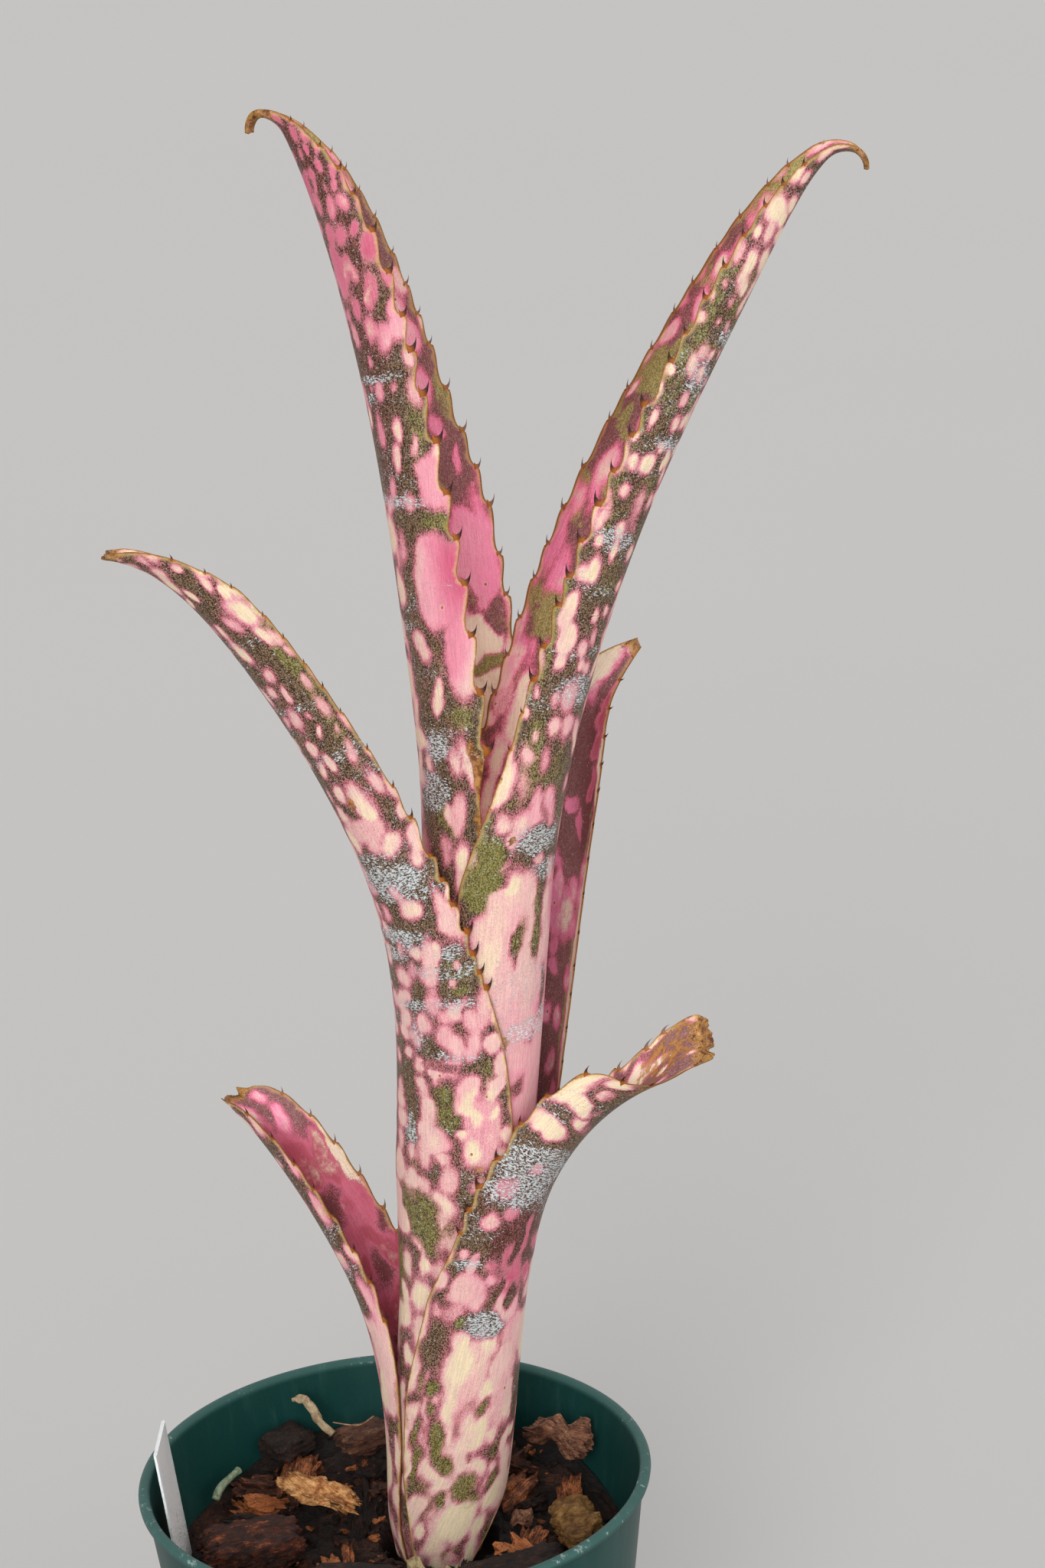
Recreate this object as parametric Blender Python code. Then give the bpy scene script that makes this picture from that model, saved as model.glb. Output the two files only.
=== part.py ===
"""A potted billbergia, a tubular bromeliad: six rolled leaves on a short stem, set in
bark mix in a plain round nursery pot, with a blank plant label pushed in beside them.

Metres, +Z up. The origin is the centre of the pot's flat underside, -Y is the front.
"""

import math
import random
from collections import namedtuple

import bmesh
import bpy
import numpy as np
from mathutils import Matrix, Vector

MM = 0.001

# Pot
POT_HEIGHT = 0.096
RIM_RADIUS = 0.054
RIM_DEPTH = 0.0035
RIM_STEP = 0.0012
BASE_RADIUS = 0.0405
WALL = 0.0012
FLOOR = 0.0016
DRAIN_RADIUS = 0.004
DRAIN_CIRCLE = 0.025
DRAIN_COUNT = 4
POT_STEPS = 56

# Every piece stays this far from its neighbours
GAP = 0.0004

# Bark mix
MIX_LEVEL = 0.0745
MIX_HEAP = 0.007
MIX_DIP = 0.004
WELL_RADIUS = 0.0128
WELL_FLOOR = 0.0688
STEM_HOLE = 0.0058
STEM_FLOOR = 0.050

# Plant: the leaves wrap a tube that leans a little to +X
PLANT_BASE = Vector((0.0086, 0.008, 0.071))
PLANT_LEAN = math.radians(6.8)
# Its radius at heights above the plant's base, both in millimetres
TUBE = [(0, 6.4), (10, 8.6), (25, 9.6), (60, 10.2), (80, 11.7), (95, 12.8), (150, 12.9), (200, 12.9)]
# Radii and heights of the stem's outline
STEM = [(0.0, -0.0200), (0.0024, -0.0195), (0.0040, -0.0150), (0.0046, 0.0), (0.0038, 0.006), (0.0, 0.008)]
LEAF_THICKNESS = 0.00065
MARGIN_SHARE = 0.55
LEAF_COLUMNS = 13
TIP_CROWDING = 1.5
EASE_LENGTH = 0.025
FADE_LENGTH = 0.030

# Plant label
LABEL_SIZE = (0.0008, 0.016, 0.090)
LABEL_TOP = (-0.0488, 0.0, 0.1062)
LABEL_LEAN = math.radians(6)
LABEL_TURN = math.radians(-3)
LABEL_SLOT = (0.0025, 0.006)
LABEL_SLOT_DROP = 0.010

# azimuth: the way the blade leans, degrees counter-clockwise from +X
# layer: how far outside the tube's wall the sheath lies, in mm; one margin stands
#   out by skew and the other in, so that sheaths on one layer can overlap
# parting: the distance along the leaf in mm at which that skew starts to fade
# sheath: distance along the leaf in mm, width in mm, turn in degrees
# blade: distance mm, lean degrees, width mm, radius of the roll mm, turn and sway degrees
Leaf = namedtuple("Leaf", "name azimuth layer skew parting rows sheath blade")

LEAVES = [
    Leaf(
        "leaf_tall_left", 162, 0, 0.68, 178, 28,
        [(0, 18, 0), (60, 36, 0), (110, 46, 6), (136, 46, 9), (150, 45, 8)],
        [
            (172, 6.5, 44, 13, 5, 0), (188, 10, 52, 13.5, 1, 0), (220, 12, 49, 12.5, 0, 0),
            (250, 15.5, 40, 10.8, 8, 0), (280, 21, 32.5, 9.5, 16, 0), (298, 27, 22.5, 7, 18, 0),
            (308, 36, 11, 4.5, 18, 0), (312, 85, 5.5, 2.5, 15, 0), (315, 150, 4, 2, 15, 0),
            (318, 190, 3, 2, 15, 0),
        ],
    ),
    Leaf(
        "leaf_tall_right", 8, 0, 0.68, 178, 28,
        [(0, 20, 0), (60, 42, 0), (100, 56, 0), (140, 58, 0), (155, 56, 0)],
        [
            (172, 6, 49, 12.6, 2, 0), (190, 10, 43, 10, 10, 0), (225, 16, 38, 8.5, 11, 0),
            (260, 21.5, 30.5, 6.7, 10, 0), (290, 23, 22, 5, 4, 0), (304, 27, 14.5, 3.8, 0, 0),
            (312, 42, 8.5, 2.8, 0, 0), (316, 85, 5.5, 2, 0, 0), (320, 140, 4, 2, 0, 0),
            (323, 180, 3, 2, 0, 0),
        ],
    ),
    Leaf(
        "leaf_rear_right", 57, 2.45, -0.75, 70, 22,
        [(0, 15, 0), (40, 22, 0), (70, 26, 0)],
        [
            (82, 15, 28, 14, 0, 0), (95, 12, 28, 14, 0, 0), (110, 5.5, 27, 14.4, 0, 0),
            (140, 7, 27, 14, 0, 0), (165, 8, 25, 13, 0, -3), (180, 9, 21, 12, 0, -10),
            (192, 12, 13, 10, 0, -28), (204, 16, 3, 8, 0, -38),
        ],
    ),
    Leaf(
        "leaf_mid_left", 195, 2.05, 0, 95, 24,
        [(0, 26, 0), (60, 48, 0), (95, 58, 0)],
        [
            (122, 6.3, 53, 15, 0, 0), (145, 17, 39, 13, 0, 0), (170, 28, 27, 8, -1, 0),
            (195, 34, 23.5, 7, -4, 0), (222, 42, 21.5, 6.5, -7, 0), (237, 58, 14, 5, -8, 0),
            (248, 86, 6, 3, -8, 0),
        ],
    ),
    Leaf(
        "leaf_low_left", 150, 3.5, 0.55, 42, 18,
        [(0, 24, 0), (12, 28, 0), (18, 29, 0)],
        [
            (30, 10, 30, 12.5, 3, 0), (45, 19, 30, 11, 5, 0), (60, 33, 28, 9, 4, 0),
            (76, 42, 26, 8.5, 3, 0), (92, 49, 23, 8, 1, 0), (103, 60, 17, 7, 0, 0),
            (109, 70, 7, 6, 0, 0),
        ],
    ),
    Leaf(
        "leaf_low_right", -12, 3.5, 0.15, 64, 24,
        [(0, 11, -80), (12, 20, -70), (25, 34, -50), (45, 42, -34), (64, 40, -26)],
        [
            (76, 7, 34, 15.5, -26, 0), (86, 15, 27.5, 15.5, -33, 0), (96, 26, 25.5, 13, -34, 0),
            (105, 36, 25, 9, -34, 0), (115, 48, 23.5, 7, -22, 0), (121, 56, 17, 7.5, 10, 0),
            (126, 66, 13, 9, 38, 0), (131, 78, 12, 12, 45, 0), (135, 82, 8, 12, 45, 0),
        ],
    ),
]

LEAF_COLORS = {
    "leaf_tall_left": (0.55, 0.28, 0.30),
    "leaf_tall_right": (0.60, 0.36, 0.34),
    "leaf_rear_right": (0.32, 0.13, 0.17),
    "leaf_mid_left": (0.52, 0.32, 0.30),
    "leaf_low_left": (0.42, 0.13, 0.17),
    "leaf_low_right": (0.50, 0.34, 0.28),
}

# Loose pieces on the mix: centre x and y, length, width and thickness, heading and
# pitch in degrees, how much higher than its neighbours it lies; all lengths in mm
Chip = namedtuple("Chip", "name x y length width thick heading pitch lift color")

ORANGE = (0.50, 0.21, 0.07)
DARK_RED = (0.10, 0.035, 0.02)
BROWN = (0.17, 0.08, 0.045)
RED_TAN = (0.36, 0.17, 0.10)
OCHRE = (0.42, 0.26, 0.10)
NEAR_BLACK = (0.03, 0.018, 0.014)
BEIGE = (0.55, 0.45, 0.27)
STEM_BROWN = (0.30, 0.22, 0.12)
TWIG_GREEN = (0.30, 0.38, 0.22)
ROOT_RADIUS = 0.0013
TWIG_RADIUS = 0.0011

CHIPS = [
    Chip("bark_flake_orange", -17, 17, 27, 11, 4.5, -50, 0, 0.5, ORANGE),
    Chip("bark_chunk_left", -32, 1, 24, 18, 9, 15, 0, 0, DARK_RED),
    Chip("bark_chip_rear", -8, 34, 14, 10, 7, 25, 0, 1, BROWN),
    Chip("bark_chip_rear_right", 35, 25, 18, 8, 9, -35, 0, 3, RED_TAN),
    Chip("bark_chip_right", 38, 4, 12, 19, 8, 15, 0, 0, OCHRE),
    Chip("bark_slab_front_right", 22, -16, 30, 14, 7, 20, 0, 0, NEAR_BLACK),
    Chip("bark_chip_rear_left", -24, 36, 15, 10, 6, 40, 0, 0, NEAR_BLACK),
    Chip("bark_chip_small_right", 26, 10, 7, 5, 4, 70, 0, 0, RED_TAN),
    Chip("bark_chip_rear_middle", 17, 38, 16, 9, 6, 10, 0, 0, BROWN),
    Chip("bark_slab_front", -7.5, -17.5, 26, 15, 7, -15, 0, 0, NEAR_BLACK),
    Chip("bark_chip_front_left", -25, -27, 18, 12, 7, 50, 0, 0, BROWN),
    Chip("bark_chip_front_edge", 8, -37, 19, 11, 6, 5, 0, 0, DARK_RED),
    Chip("dry_leaf_base", 7, -9.5, 11, 6, 5, 0, 0, 0, BEIGE),
]


def material(name, color, roughness):
    """A plain finish for one piece."""
    finish = bpy.data.materials.new(name)
    finish.use_nodes = True
    shader = finish.node_tree.nodes["Principled BSDF"]
    shader.inputs["Base Color"].default_value = (*color, 1)
    shader.inputs["Roughness"].default_value = roughness
    return finish


def add_object(name, mesh, finish, angle=40):
    """Links one named piece, shaded smooth except across sharp edges."""
    piece = bpy.data.objects.new(name, mesh)
    bpy.context.scene.collection.objects.link(piece)
    mesh.materials.append(finish)
    mesh.shade_smooth()
    mesh.set_sharp_from_angle(angle=math.radians(angle))
    return piece


def mesh_from(name, bm):
    """Ends a bmesh: normals outwards, written to a new mesh."""
    bmesh.ops.recalc_face_normals(bm, faces=bm.faces)
    mesh = bpy.data.meshes.new(name)
    bm.to_mesh(mesh)
    bm.free()
    return mesh


def boolean_cut(piece, cutter):
    """Takes the cutter out of the piece; the cutter itself isn't built."""
    cut = piece.modifiers.new("cut_" + cutter.name, "BOOLEAN")
    cut.operation = "DIFFERENCE"
    cut.solver = "EXACT"
    cut.object = cutter
    cutter.hide_render = True
    cutter.display_type = "WIRE"


# ---------------------------------------------------------------- curves


def curve_value(stations, places):
    """A smooth curve through (place, value) stations that never overshoots them."""
    x = np.array([row[0] for row in stations], float)
    y = np.array([row[1] for row in stations], float)
    step = np.diff(x)
    rise = np.diff(y) / step
    slope = np.empty_like(y)
    slope[0] = rise[0]
    slope[-1] = rise[-1]
    for i in range(1, len(y) - 1):
        before, after = rise[i - 1], rise[i]
        if before * after <= 0:
            slope[i] = 0
            continue
        near = 2 * step[i] + step[i - 1]
        far = step[i] + 2 * step[i - 1]
        slope[i] = (near + far) / (near / before + far / after)
    i = np.clip(np.searchsorted(x, places, side="right") - 1, 0, len(step) - 1)
    t = (places - x[i]) / step[i]
    start = (1 + 2 * t) * (1 - t) ** 2 * y[i] + t * (1 - t) ** 2 * step[i] * slope[i]
    end = t**2 * (3 - 2 * t) * y[i + 1] + t**2 * (t - 1) * step[i] * slope[i + 1]
    return start + end


def unit(vectors):
    return vectors / np.linalg.norm(vectors, axis=-1, keepdims=True)


def tube_axis():
    return np.array([math.sin(PLANT_LEAN), 0.0, math.cos(PLANT_LEAN)])


def tube_radius(places):
    """The radius of the leaf tube at a distance above the plant's base, in metres."""
    return curve_value(TUBE, np.asarray(places) / MM) * MM


# ---------------------------------------------------------------- leaves


def leaf_course(leaf, places):
    """Lean, sway, roll radius, width and turn of a leaf at places along it."""
    split = leaf.sheath[-1][0]
    in_mm = places / MM
    past = np.maximum(in_mm, split)
    end_radius = float(tube_radius(split * MM)) + leaf.layer * MM
    nudge = 1.0
    end_slope = float(tube_radius(split * MM) - tube_radius((split - nudge) * MM)) / (nudge * MM)
    lean_rows = [(split, math.atan(end_slope))]
    sway_rows = [(split, 0.0)]
    roll_rows = [(split, end_radius)]
    width_rows = [(row[0], row[1] * MM) for row in leaf.sheath]
    turn_rows = [(row[0], math.radians(row[2])) for row in leaf.sheath]
    for place, lean, width, radius, turn, sway in leaf.blade:
        lean_rows.append((place, math.radians(lean)))
        sway_rows.append((place, math.radians(sway)))
        roll_rows.append((place, radius * MM))
        width_rows.append((place, width * MM))
        turn_rows.append((place, math.radians(turn)))
    hugging = tube_radius(np.minimum(places, split * MM)) + leaf.layer * MM
    roll = np.where(in_mm <= split, hugging, curve_value(roll_rows, past))
    lean = curve_value(lean_rows, past)
    sway = curve_value(sway_rows, past)
    return lean, sway, roll, curve_value(width_rows, in_mm), curve_value(turn_rows, in_mm)


def leaf_surface(leaf, rows, columns):
    """Points on the middle of a leaf's thickness: rows along it by columns across it."""
    split = leaf.sheath[-1][0] * MM
    places = leaf.blade[-1][0] * MM * (1 - (1 - np.linspace(0, 1, rows)) ** TIP_CROWDING)
    lean, sway, roll, width, turn = leaf_course(leaf, places)
    axis = tube_axis()
    azimuth = math.radians(leaf.azimuth)
    out = np.array([math.cos(azimuth), math.sin(azimuth), 0.0])
    out = unit(out - (out @ axis) * axis)
    side = np.cross(axis, out)

    def heading(angle, across):
        up = np.cos(angle)[:, None] * axis + np.sin(angle)[:, None] * out
        return unit(up + np.tan(across)[:, None] * side)

    growth = heading(lean, sway)
    base = np.array(PLANT_BASE)
    reach = tube_radius(np.minimum(places, split)) + leaf.layer * MM
    middle = base + places[:, None] * axis + reach[:, None] * out
    first = int(np.searchsorted(places, split))
    point = base + split * axis + (float(tube_radius(split)) + leaf.layer * MM) * out
    place = split
    for i in range(first, rows):
        point = point + (growth[i] + growth[max(i - 1, first)]) / 2 * (places[i] - place)
        place = places[i]
        middle[i] = point

    ease = np.clip((places - split) / EASE_LENGTH, 0, 1)
    ease = ease**2 * (3 - 2 * ease)
    along = heading(lean * ease, sway)
    outward = np.cos(lean * ease)[:, None] * out - np.sin(lean * ease)[:, None] * axis
    across = unit(np.cross(along, outward))
    outward = np.cross(across, along)
    turned = np.cos(turn)[:, None] * outward + np.sin(turn)[:, None] * across
    turned_across = np.cross(along, turned)

    share = np.linspace(-1, 1, columns)
    angle = share * (width / 2 / roll)[:, None]
    spoke = turned[:, None] * np.cos(angle)[..., None] + turned_across[:, None] * np.sin(angle)[..., None]
    fade = np.clip(1 - (places - leaf.parting * MM) / FADE_LENGTH, 0, 1)
    radius = roll[:, None] - leaf.skew * MM * share * fade[:, None]
    centre = middle - outward * roll[:, None]
    return centre[:, None] + spoke * radius[..., None]


def add_leaf(leaf, color):
    """One leaf: its middle surface, given thickness that tapers to the margins."""
    points = leaf_surface(leaf, leaf.rows, LEAF_COLUMNS)
    bm = bmesh.new()
    grid = [[bm.verts.new(point) for point in row] for row in points]
    for lower, upper in zip(grid, grid[1:]):
        for i in range(LEAF_COLUMNS - 1):
            bm.faces.new((lower[i], lower[i + 1], upper[i + 1], upper[i]))
    mesh = bpy.data.meshes.new(leaf.name)
    bm.to_mesh(mesh)
    bm.free()
    piece = add_object(leaf.name, mesh, material(leaf.name, color, 0.5))
    body = piece.vertex_groups.new(name="body")
    for index in range(len(mesh.vertices)):
        share = abs(2 * (index % LEAF_COLUMNS) / (LEAF_COLUMNS - 1) - 1)
        body.add([index], 1 - (1 - MARGIN_SHARE) * share**2, "REPLACE")
    solid = piece.modifiers.new("thickness", "SOLIDIFY")
    solid.thickness = LEAF_THICKNESS
    solid.offset = 0
    solid.vertex_group = body.name
    solid.use_rim = True
    return piece


def add_stem_base():
    """The short stem under the leaves, a blunt cone on the tube's axis."""
    bm = bmesh.new()
    verts = [bm.verts.new((radius, 0, height)) for radius, height in STEM]
    edges = [bm.edges.new(pair) for pair in zip(verts, verts[1:])]
    bmesh.ops.spin(
        bm, geom=verts + edges, axis=(0, 0, 1), cent=(0, 0, 0), angle=math.tau, steps=16, use_merge=True
    )
    bmesh.ops.remove_doubles(bm, verts=bm.verts, dist=1e-6)
    bmesh.ops.rotate(bm, verts=bm.verts, cent=(0, 0, 0), matrix=Matrix.Rotation(PLANT_LEAN, 3, "Y"))
    finish = material("stem_base", STEM_BROWN, 0.8)
    piece = add_object("stem_base", mesh_from("stem_base", bm), finish)
    piece.location = PLANT_BASE
    return piece


# ---------------------------------------------------------------- pot and mix


def wall_radius(height):
    """The outer radius of the pot's wall below its rim."""
    share = height / POT_HEIGHT
    return BASE_RADIUS + (RIM_RADIUS - RIM_STEP - BASE_RADIUS) * share


def inner_radius(height):
    return wall_radius(height) - WALL


def add_pot():
    """A turned, slightly tapered pot with a beaded rim and drain holes."""
    neck = POT_HEIGHT - RIM_DEPTH
    crown = POT_HEIGHT
    bead = 0.0008
    profile = [
        (0.0, 0.0),
        (BASE_RADIUS - 0.001, 0.0),
        (wall_radius(0.001), 0.001),
        (wall_radius(neck), neck),
        (RIM_RADIUS - 0.0003, neck + 0.0006),
        (RIM_RADIUS, neck + 0.0016),
        (RIM_RADIUS, crown - bead),
        (RIM_RADIUS - bead, crown),
        (inner_radius(crown) + bead, crown),
        (inner_radius(crown), crown - bead),
        (inner_radius(FLOOR), FLOOR),
        (0.0, FLOOR),
    ]
    bm = bmesh.new()
    verts = [bm.verts.new((radius, 0, height)) for radius, height in profile]
    for pair in zip(verts, verts[1:]):
        bm.edges.new(pair)
    mesh = bpy.data.meshes.new("pot")
    bm.to_mesh(mesh)
    bm.free()
    pot = add_object("pot", mesh, material("pot", (0.02, 0.12, 0.12), 0.42), angle=50)
    turn = pot.modifiers.new("turned", "SCREW")
    turn.angle = math.tau
    turn.steps = POT_STEPS
    turn.render_steps = POT_STEPS
    turn.use_merge_vertices = True
    turn.merge_threshold = 1e-5
    turn.use_normal_flip = True
    for index in range(DRAIN_COUNT):
        angle = math.tau * (index + 0.5) / DRAIN_COUNT
        bm = bmesh.new()
        bmesh.ops.create_cone(
            bm, segments=20, radius1=DRAIN_RADIUS, radius2=DRAIN_RADIUS, depth=4 * FLOOR, cap_ends=True
        )
        drain = add_object(f"drain_{index + 1}", mesh_from("drain", bm), pot.data.materials[0])
        drain.location = (DRAIN_CIRCLE * math.cos(angle), DRAIN_CIRCLE * math.sin(angle), FLOOR / 2)
        boolean_cut(pot, drain)
    return pot


def mix_height(x, y):
    """The height of the bark mix's top: heaped at the back, with a dip at the left."""
    heap = max(0.0, min(1.0, (y - 0.010) / 0.030))
    dip = math.exp(-(((x + 0.034) / 0.012) ** 2) - ((y - 0.028) / 0.012) ** 2)
    return MIX_LEVEL + MIX_HEAP * heap * heap * (3 - 2 * heap) - MIX_DIP * dip


def add_potting_mix():
    """The bark mix as one solid, with a well that the plant stands in."""
    segments = 40
    rings = 9
    base = FLOOR + GAP
    top = MIX_LEVEL
    bm = bmesh.new()

    def ring(radius, centre, height=None):
        verts = []
        for k in range(segments):
            angle = math.tau * k / segments
            x = centre[0] + radius * math.cos(angle)
            y = centre[1] + radius * math.sin(angle)
            verts.append(bm.verts.new((x, y, mix_height(x, y) if height is None else height)))
        return verts

    def join(lower, upper):
        for k in range(segments):
            after = (k + 1) % segments
            bm.faces.new((lower[k], lower[after], upper[after], upper[k]))

    plant = (PLANT_BASE.x, PLANT_BASE.y)
    loops = [ring(inner_radius(base) - GAP, (0, 0), base)]
    rim = inner_radius(top) - GAP
    for k in range(rings):
        share = k / (rings - 1)
        centre = (plant[0] * share, plant[1] * share)
        loops.append(ring(rim + (WELL_RADIUS - rim) * share, centre))
    loops.append(ring(WELL_RADIUS, plant, WELL_FLOOR))
    loops.append(ring(STEM_HOLE, plant, WELL_FLOOR))
    foot = (plant[0] - math.tan(PLANT_LEAN) * (WELL_FLOOR - STEM_FLOOR), plant[1])
    loops.append(ring(STEM_HOLE, foot, STEM_FLOOR))
    for lower, upper in zip(loops, loops[1:]):
        join(lower, upper)
    bm.faces.new(list(reversed(loops[0])))
    bm.faces.new(loops[-1])
    finish = material("potting_mix", NEAR_BLACK, 0.95)
    return add_object("potting_mix", mesh_from("potting_mix", bm), finish)


# ---------------------------------------------------------------- loose pieces


def resting_height(x, y, reach):
    """The height at which a piece of this reach clears the mix below it."""
    highest = 0.0
    for k in range(24):
        angle = math.tau * k / 24
        for share in (0.0, 0.5, 1.0):
            spot = (x + share * reach * math.cos(angle), y + share * reach * math.sin(angle))
            highest = max(highest, mix_height(*spot))
    return highest + GAP


def add_chip(chip):
    """A rough, flattened lump of bark."""
    shake = random.Random(chip.name)
    bm = bmesh.new()
    bmesh.ops.create_icosphere(bm, subdivisions=1 if chip.length < 10 else 2, radius=1.0)
    half = Vector((chip.length, chip.width, chip.thick)) * MM / 2
    for vert in bm.verts:
        lump = 1 + shake.uniform(-0.13, 0.06)
        square = [math.copysign(abs(value) ** 0.7, value) for value in vert.co]
        vert.co = Vector(half[k] * max(-1, min(1, square[k] * lump)) for k in range(3))
    turn = Matrix.Rotation(math.radians(chip.heading), 3, "Z")
    turn = turn @ Matrix.Rotation(math.radians(chip.pitch), 3, "Y")
    bmesh.ops.rotate(bm, verts=bm.verts, cent=(0, 0, 0), matrix=turn)
    lowest = min(vert.co.z for vert in bm.verts)
    piece = add_object(chip.name, mesh_from(chip.name, bm), material(chip.name, chip.color, 0.9))
    x = chip.x * MM
    y = chip.y * MM
    reach = max(chip.length, chip.width) * MM / 2
    piece.location = (x, y, resting_height(x, y, reach) + chip.lift * MM - lowest)
    return piece


def add_strand(name, points, radius, color):
    """A thin dry root or twig: a bevelled curve with closed ends."""
    curve = bpy.data.curves.new(name, "CURVE")
    curve.dimensions = "3D"
    curve.bevel_depth = radius
    curve.bevel_resolution = 2
    curve.use_fill_caps = True
    spline = curve.splines.new("POLY")
    spline.points.add(len(points) - 1)
    for spot, point in zip(spline.points, points):
        spot.co = (*point, 1)
    strand = bpy.data.objects.new(name, curve)
    bpy.context.scene.collection.objects.link(strand)
    curve.materials.append(material(name, color, 0.8))
    return strand


def arched(start, end, rise, count=9):
    """Points from start to end, bowed sideways and upwards by the rise."""
    start = Vector(start)
    end = Vector(end)
    bow = Vector((0.4, 0.0, 1.0)) * rise
    shares = [k / (count - 1) for k in range(count)]
    return [start.lerp(end, share) + bow * math.sin(math.pi * share) for share in shares]


def label_frame():
    """Where the label stands: its own axes and the middle of its top edge."""
    return (
        Matrix.Translation(LABEL_TOP)
        @ Matrix.Rotation(LABEL_TURN, 4, "Z")
        @ Matrix.Rotation(-LABEL_LEAN, 4, "Y")
    )


def add_label(mix):
    """A blank plant label with a hole for a tie, and the slit that it makes in the mix."""
    thick, width, length = LABEL_SIZE
    point = 0.012
    outline = [
        (-width / 2, 0.0),
        (-width / 2, point - length),
        (0.0, -length),
        (width / 2, point - length),
        (width / 2, 0.0),
    ]
    finish = material("plant_label", (0.80, 0.82, 0.84), 0.35)

    def slab(name, shape, depth):
        bm = bmesh.new()
        face = bm.faces.new([bm.verts.new((-depth / 2, y, z)) for y, z in shape])
        made = bmesh.ops.extrude_face_region(bm, geom=[face])
        pushed = [item for item in made["geom"] if isinstance(item, bmesh.types.BMVert)]
        bmesh.ops.translate(bm, verts=pushed, vec=(depth, 0, 0))
        piece = add_object(name, mesh_from(name, bm), finish)
        piece.matrix_world = label_frame()
        return piece

    label = slab("plant_label", outline, thick)
    hole_width, hole_height = LABEL_SLOT
    top = -LABEL_SLOT_DROP + hole_height / 2
    bottom = -LABEL_SLOT_DROP - hole_height / 2
    edge = hole_width / 2
    hole = slab("tie_hole", [(-edge, top), (-edge, bottom), (edge, bottom), (edge, top)], 4 * thick)
    boolean_cut(label, hole)
    wide = width / 2 + GAP
    deep = -length - GAP
    slit = slab("label_slit", [(-wide, 0.0), (-wide, deep), (wide, deep), (wide, 0.0)], thick + 2 * GAP)
    boolean_cut(mix, slit)
    return label


# ---------------------------------------------------------------- the whole plant


def main():
    for thing in list(bpy.data.objects):
        bpy.data.objects.remove(thing, do_unlink=True)
    add_pot()
    mix = add_potting_mix()
    add_stem_base()
    for leaf in LEAVES:
        add_leaf(leaf, LEAF_COLORS[leaf.name])
    for chip in CHIPS:
        add_chip(chip)
    add_label(mix)
    root = arched((-0.0235, 0.0405, 0.0925), (-0.0140, 0.0370, 0.0850), rise=0.0012)
    add_strand("dry_root", root, ROOT_RADIUS, BEIGE)
    twig = arched((-0.0400, 0.0200, 0.0800), (-0.0350, 0.0280, 0.0830), rise=0.0006, count=7)
    add_strand("green_twig", twig, TWIG_RADIUS, TWIG_GREEN)


main()
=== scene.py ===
"""The looks of a potted billbergia: spiny, spotted leaves rolled into a tube, in a round
nursery pot of bark with a blank plant label. Laid out as an add-on that is run as a script.

Leaves and bark are in millimetres until a mesh is made; all else is in metres, +Z up.
"""

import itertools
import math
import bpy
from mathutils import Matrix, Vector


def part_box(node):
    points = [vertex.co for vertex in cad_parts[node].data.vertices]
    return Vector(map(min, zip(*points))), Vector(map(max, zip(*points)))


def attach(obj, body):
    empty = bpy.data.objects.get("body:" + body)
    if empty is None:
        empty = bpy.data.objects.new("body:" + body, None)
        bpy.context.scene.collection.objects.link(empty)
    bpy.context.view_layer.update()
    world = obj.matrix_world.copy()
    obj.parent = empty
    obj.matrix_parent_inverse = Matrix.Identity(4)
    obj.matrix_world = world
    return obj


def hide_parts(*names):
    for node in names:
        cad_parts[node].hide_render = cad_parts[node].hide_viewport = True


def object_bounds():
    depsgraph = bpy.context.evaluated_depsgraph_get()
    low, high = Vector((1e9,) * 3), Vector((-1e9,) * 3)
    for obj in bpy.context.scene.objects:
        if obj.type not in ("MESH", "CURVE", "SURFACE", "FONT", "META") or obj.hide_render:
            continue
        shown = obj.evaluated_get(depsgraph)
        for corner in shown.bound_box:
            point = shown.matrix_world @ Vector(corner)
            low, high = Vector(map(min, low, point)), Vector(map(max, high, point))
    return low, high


bl_info = {
    "name": "Potted Billbergia",
    "version": (1, 0, 0),
    "blender": (4, 5, 0),
    "location": "3D View > Sidebar > Billbergia",
    "description": "Builds a potted billbergia over its frame, piece by piece",
    "category": "Add Mesh",
}

from collections import namedtuple

import bpy
import numpy as np
from bpy.props import FloatProperty, FloatVectorProperty, IntProperty, PointerProperty
from bpy.types import Operator, Panel, PropertyGroup
from mathutils import Matrix, Vector

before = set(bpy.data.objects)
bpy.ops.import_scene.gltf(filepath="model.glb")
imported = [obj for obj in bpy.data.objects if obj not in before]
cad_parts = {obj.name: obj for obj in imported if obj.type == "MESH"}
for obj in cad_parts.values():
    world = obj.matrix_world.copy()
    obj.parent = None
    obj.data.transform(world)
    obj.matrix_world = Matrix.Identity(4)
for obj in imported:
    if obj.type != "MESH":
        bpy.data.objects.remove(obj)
CAD_BOX = [list(corner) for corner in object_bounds()]

MM = 0.001
# How far inside the CAD's box a leaf's points stay
SNUG = 0.00002
# Drain holes in the pot's floor
DRAINS = 4

# ---------------------------------------------------------------- the plant's form

# The foot of the plant, how far it leans to +X, and where it stands on the mix, in metres
PLANT_BASE = np.array([8.6, 8.0, 71.0])
PLANT_LEAN = math.radians(6.8)
PLANT_SPOT = PLANT_BASE[:2] * MM
# Radius of the leaf tube at heights above the plant's base
TUBE = [(0, 6.4), (10, 8.6), (25, 9.6), (60, 10.2), (80, 11.7), (95, 12.8), (150, 12.9), (200, 12.9)]
# How the rows crowd to the tip: those of the frame's leaves, and those of these finer ones
TIP_CROWDING = 1.5
ROW_CROWDING = 1.12
# Length of the tip that bears no thorns, and the share of a scallop that is its steep scoop
BARE_TIP = 8
SCOOP = 0.2
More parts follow.
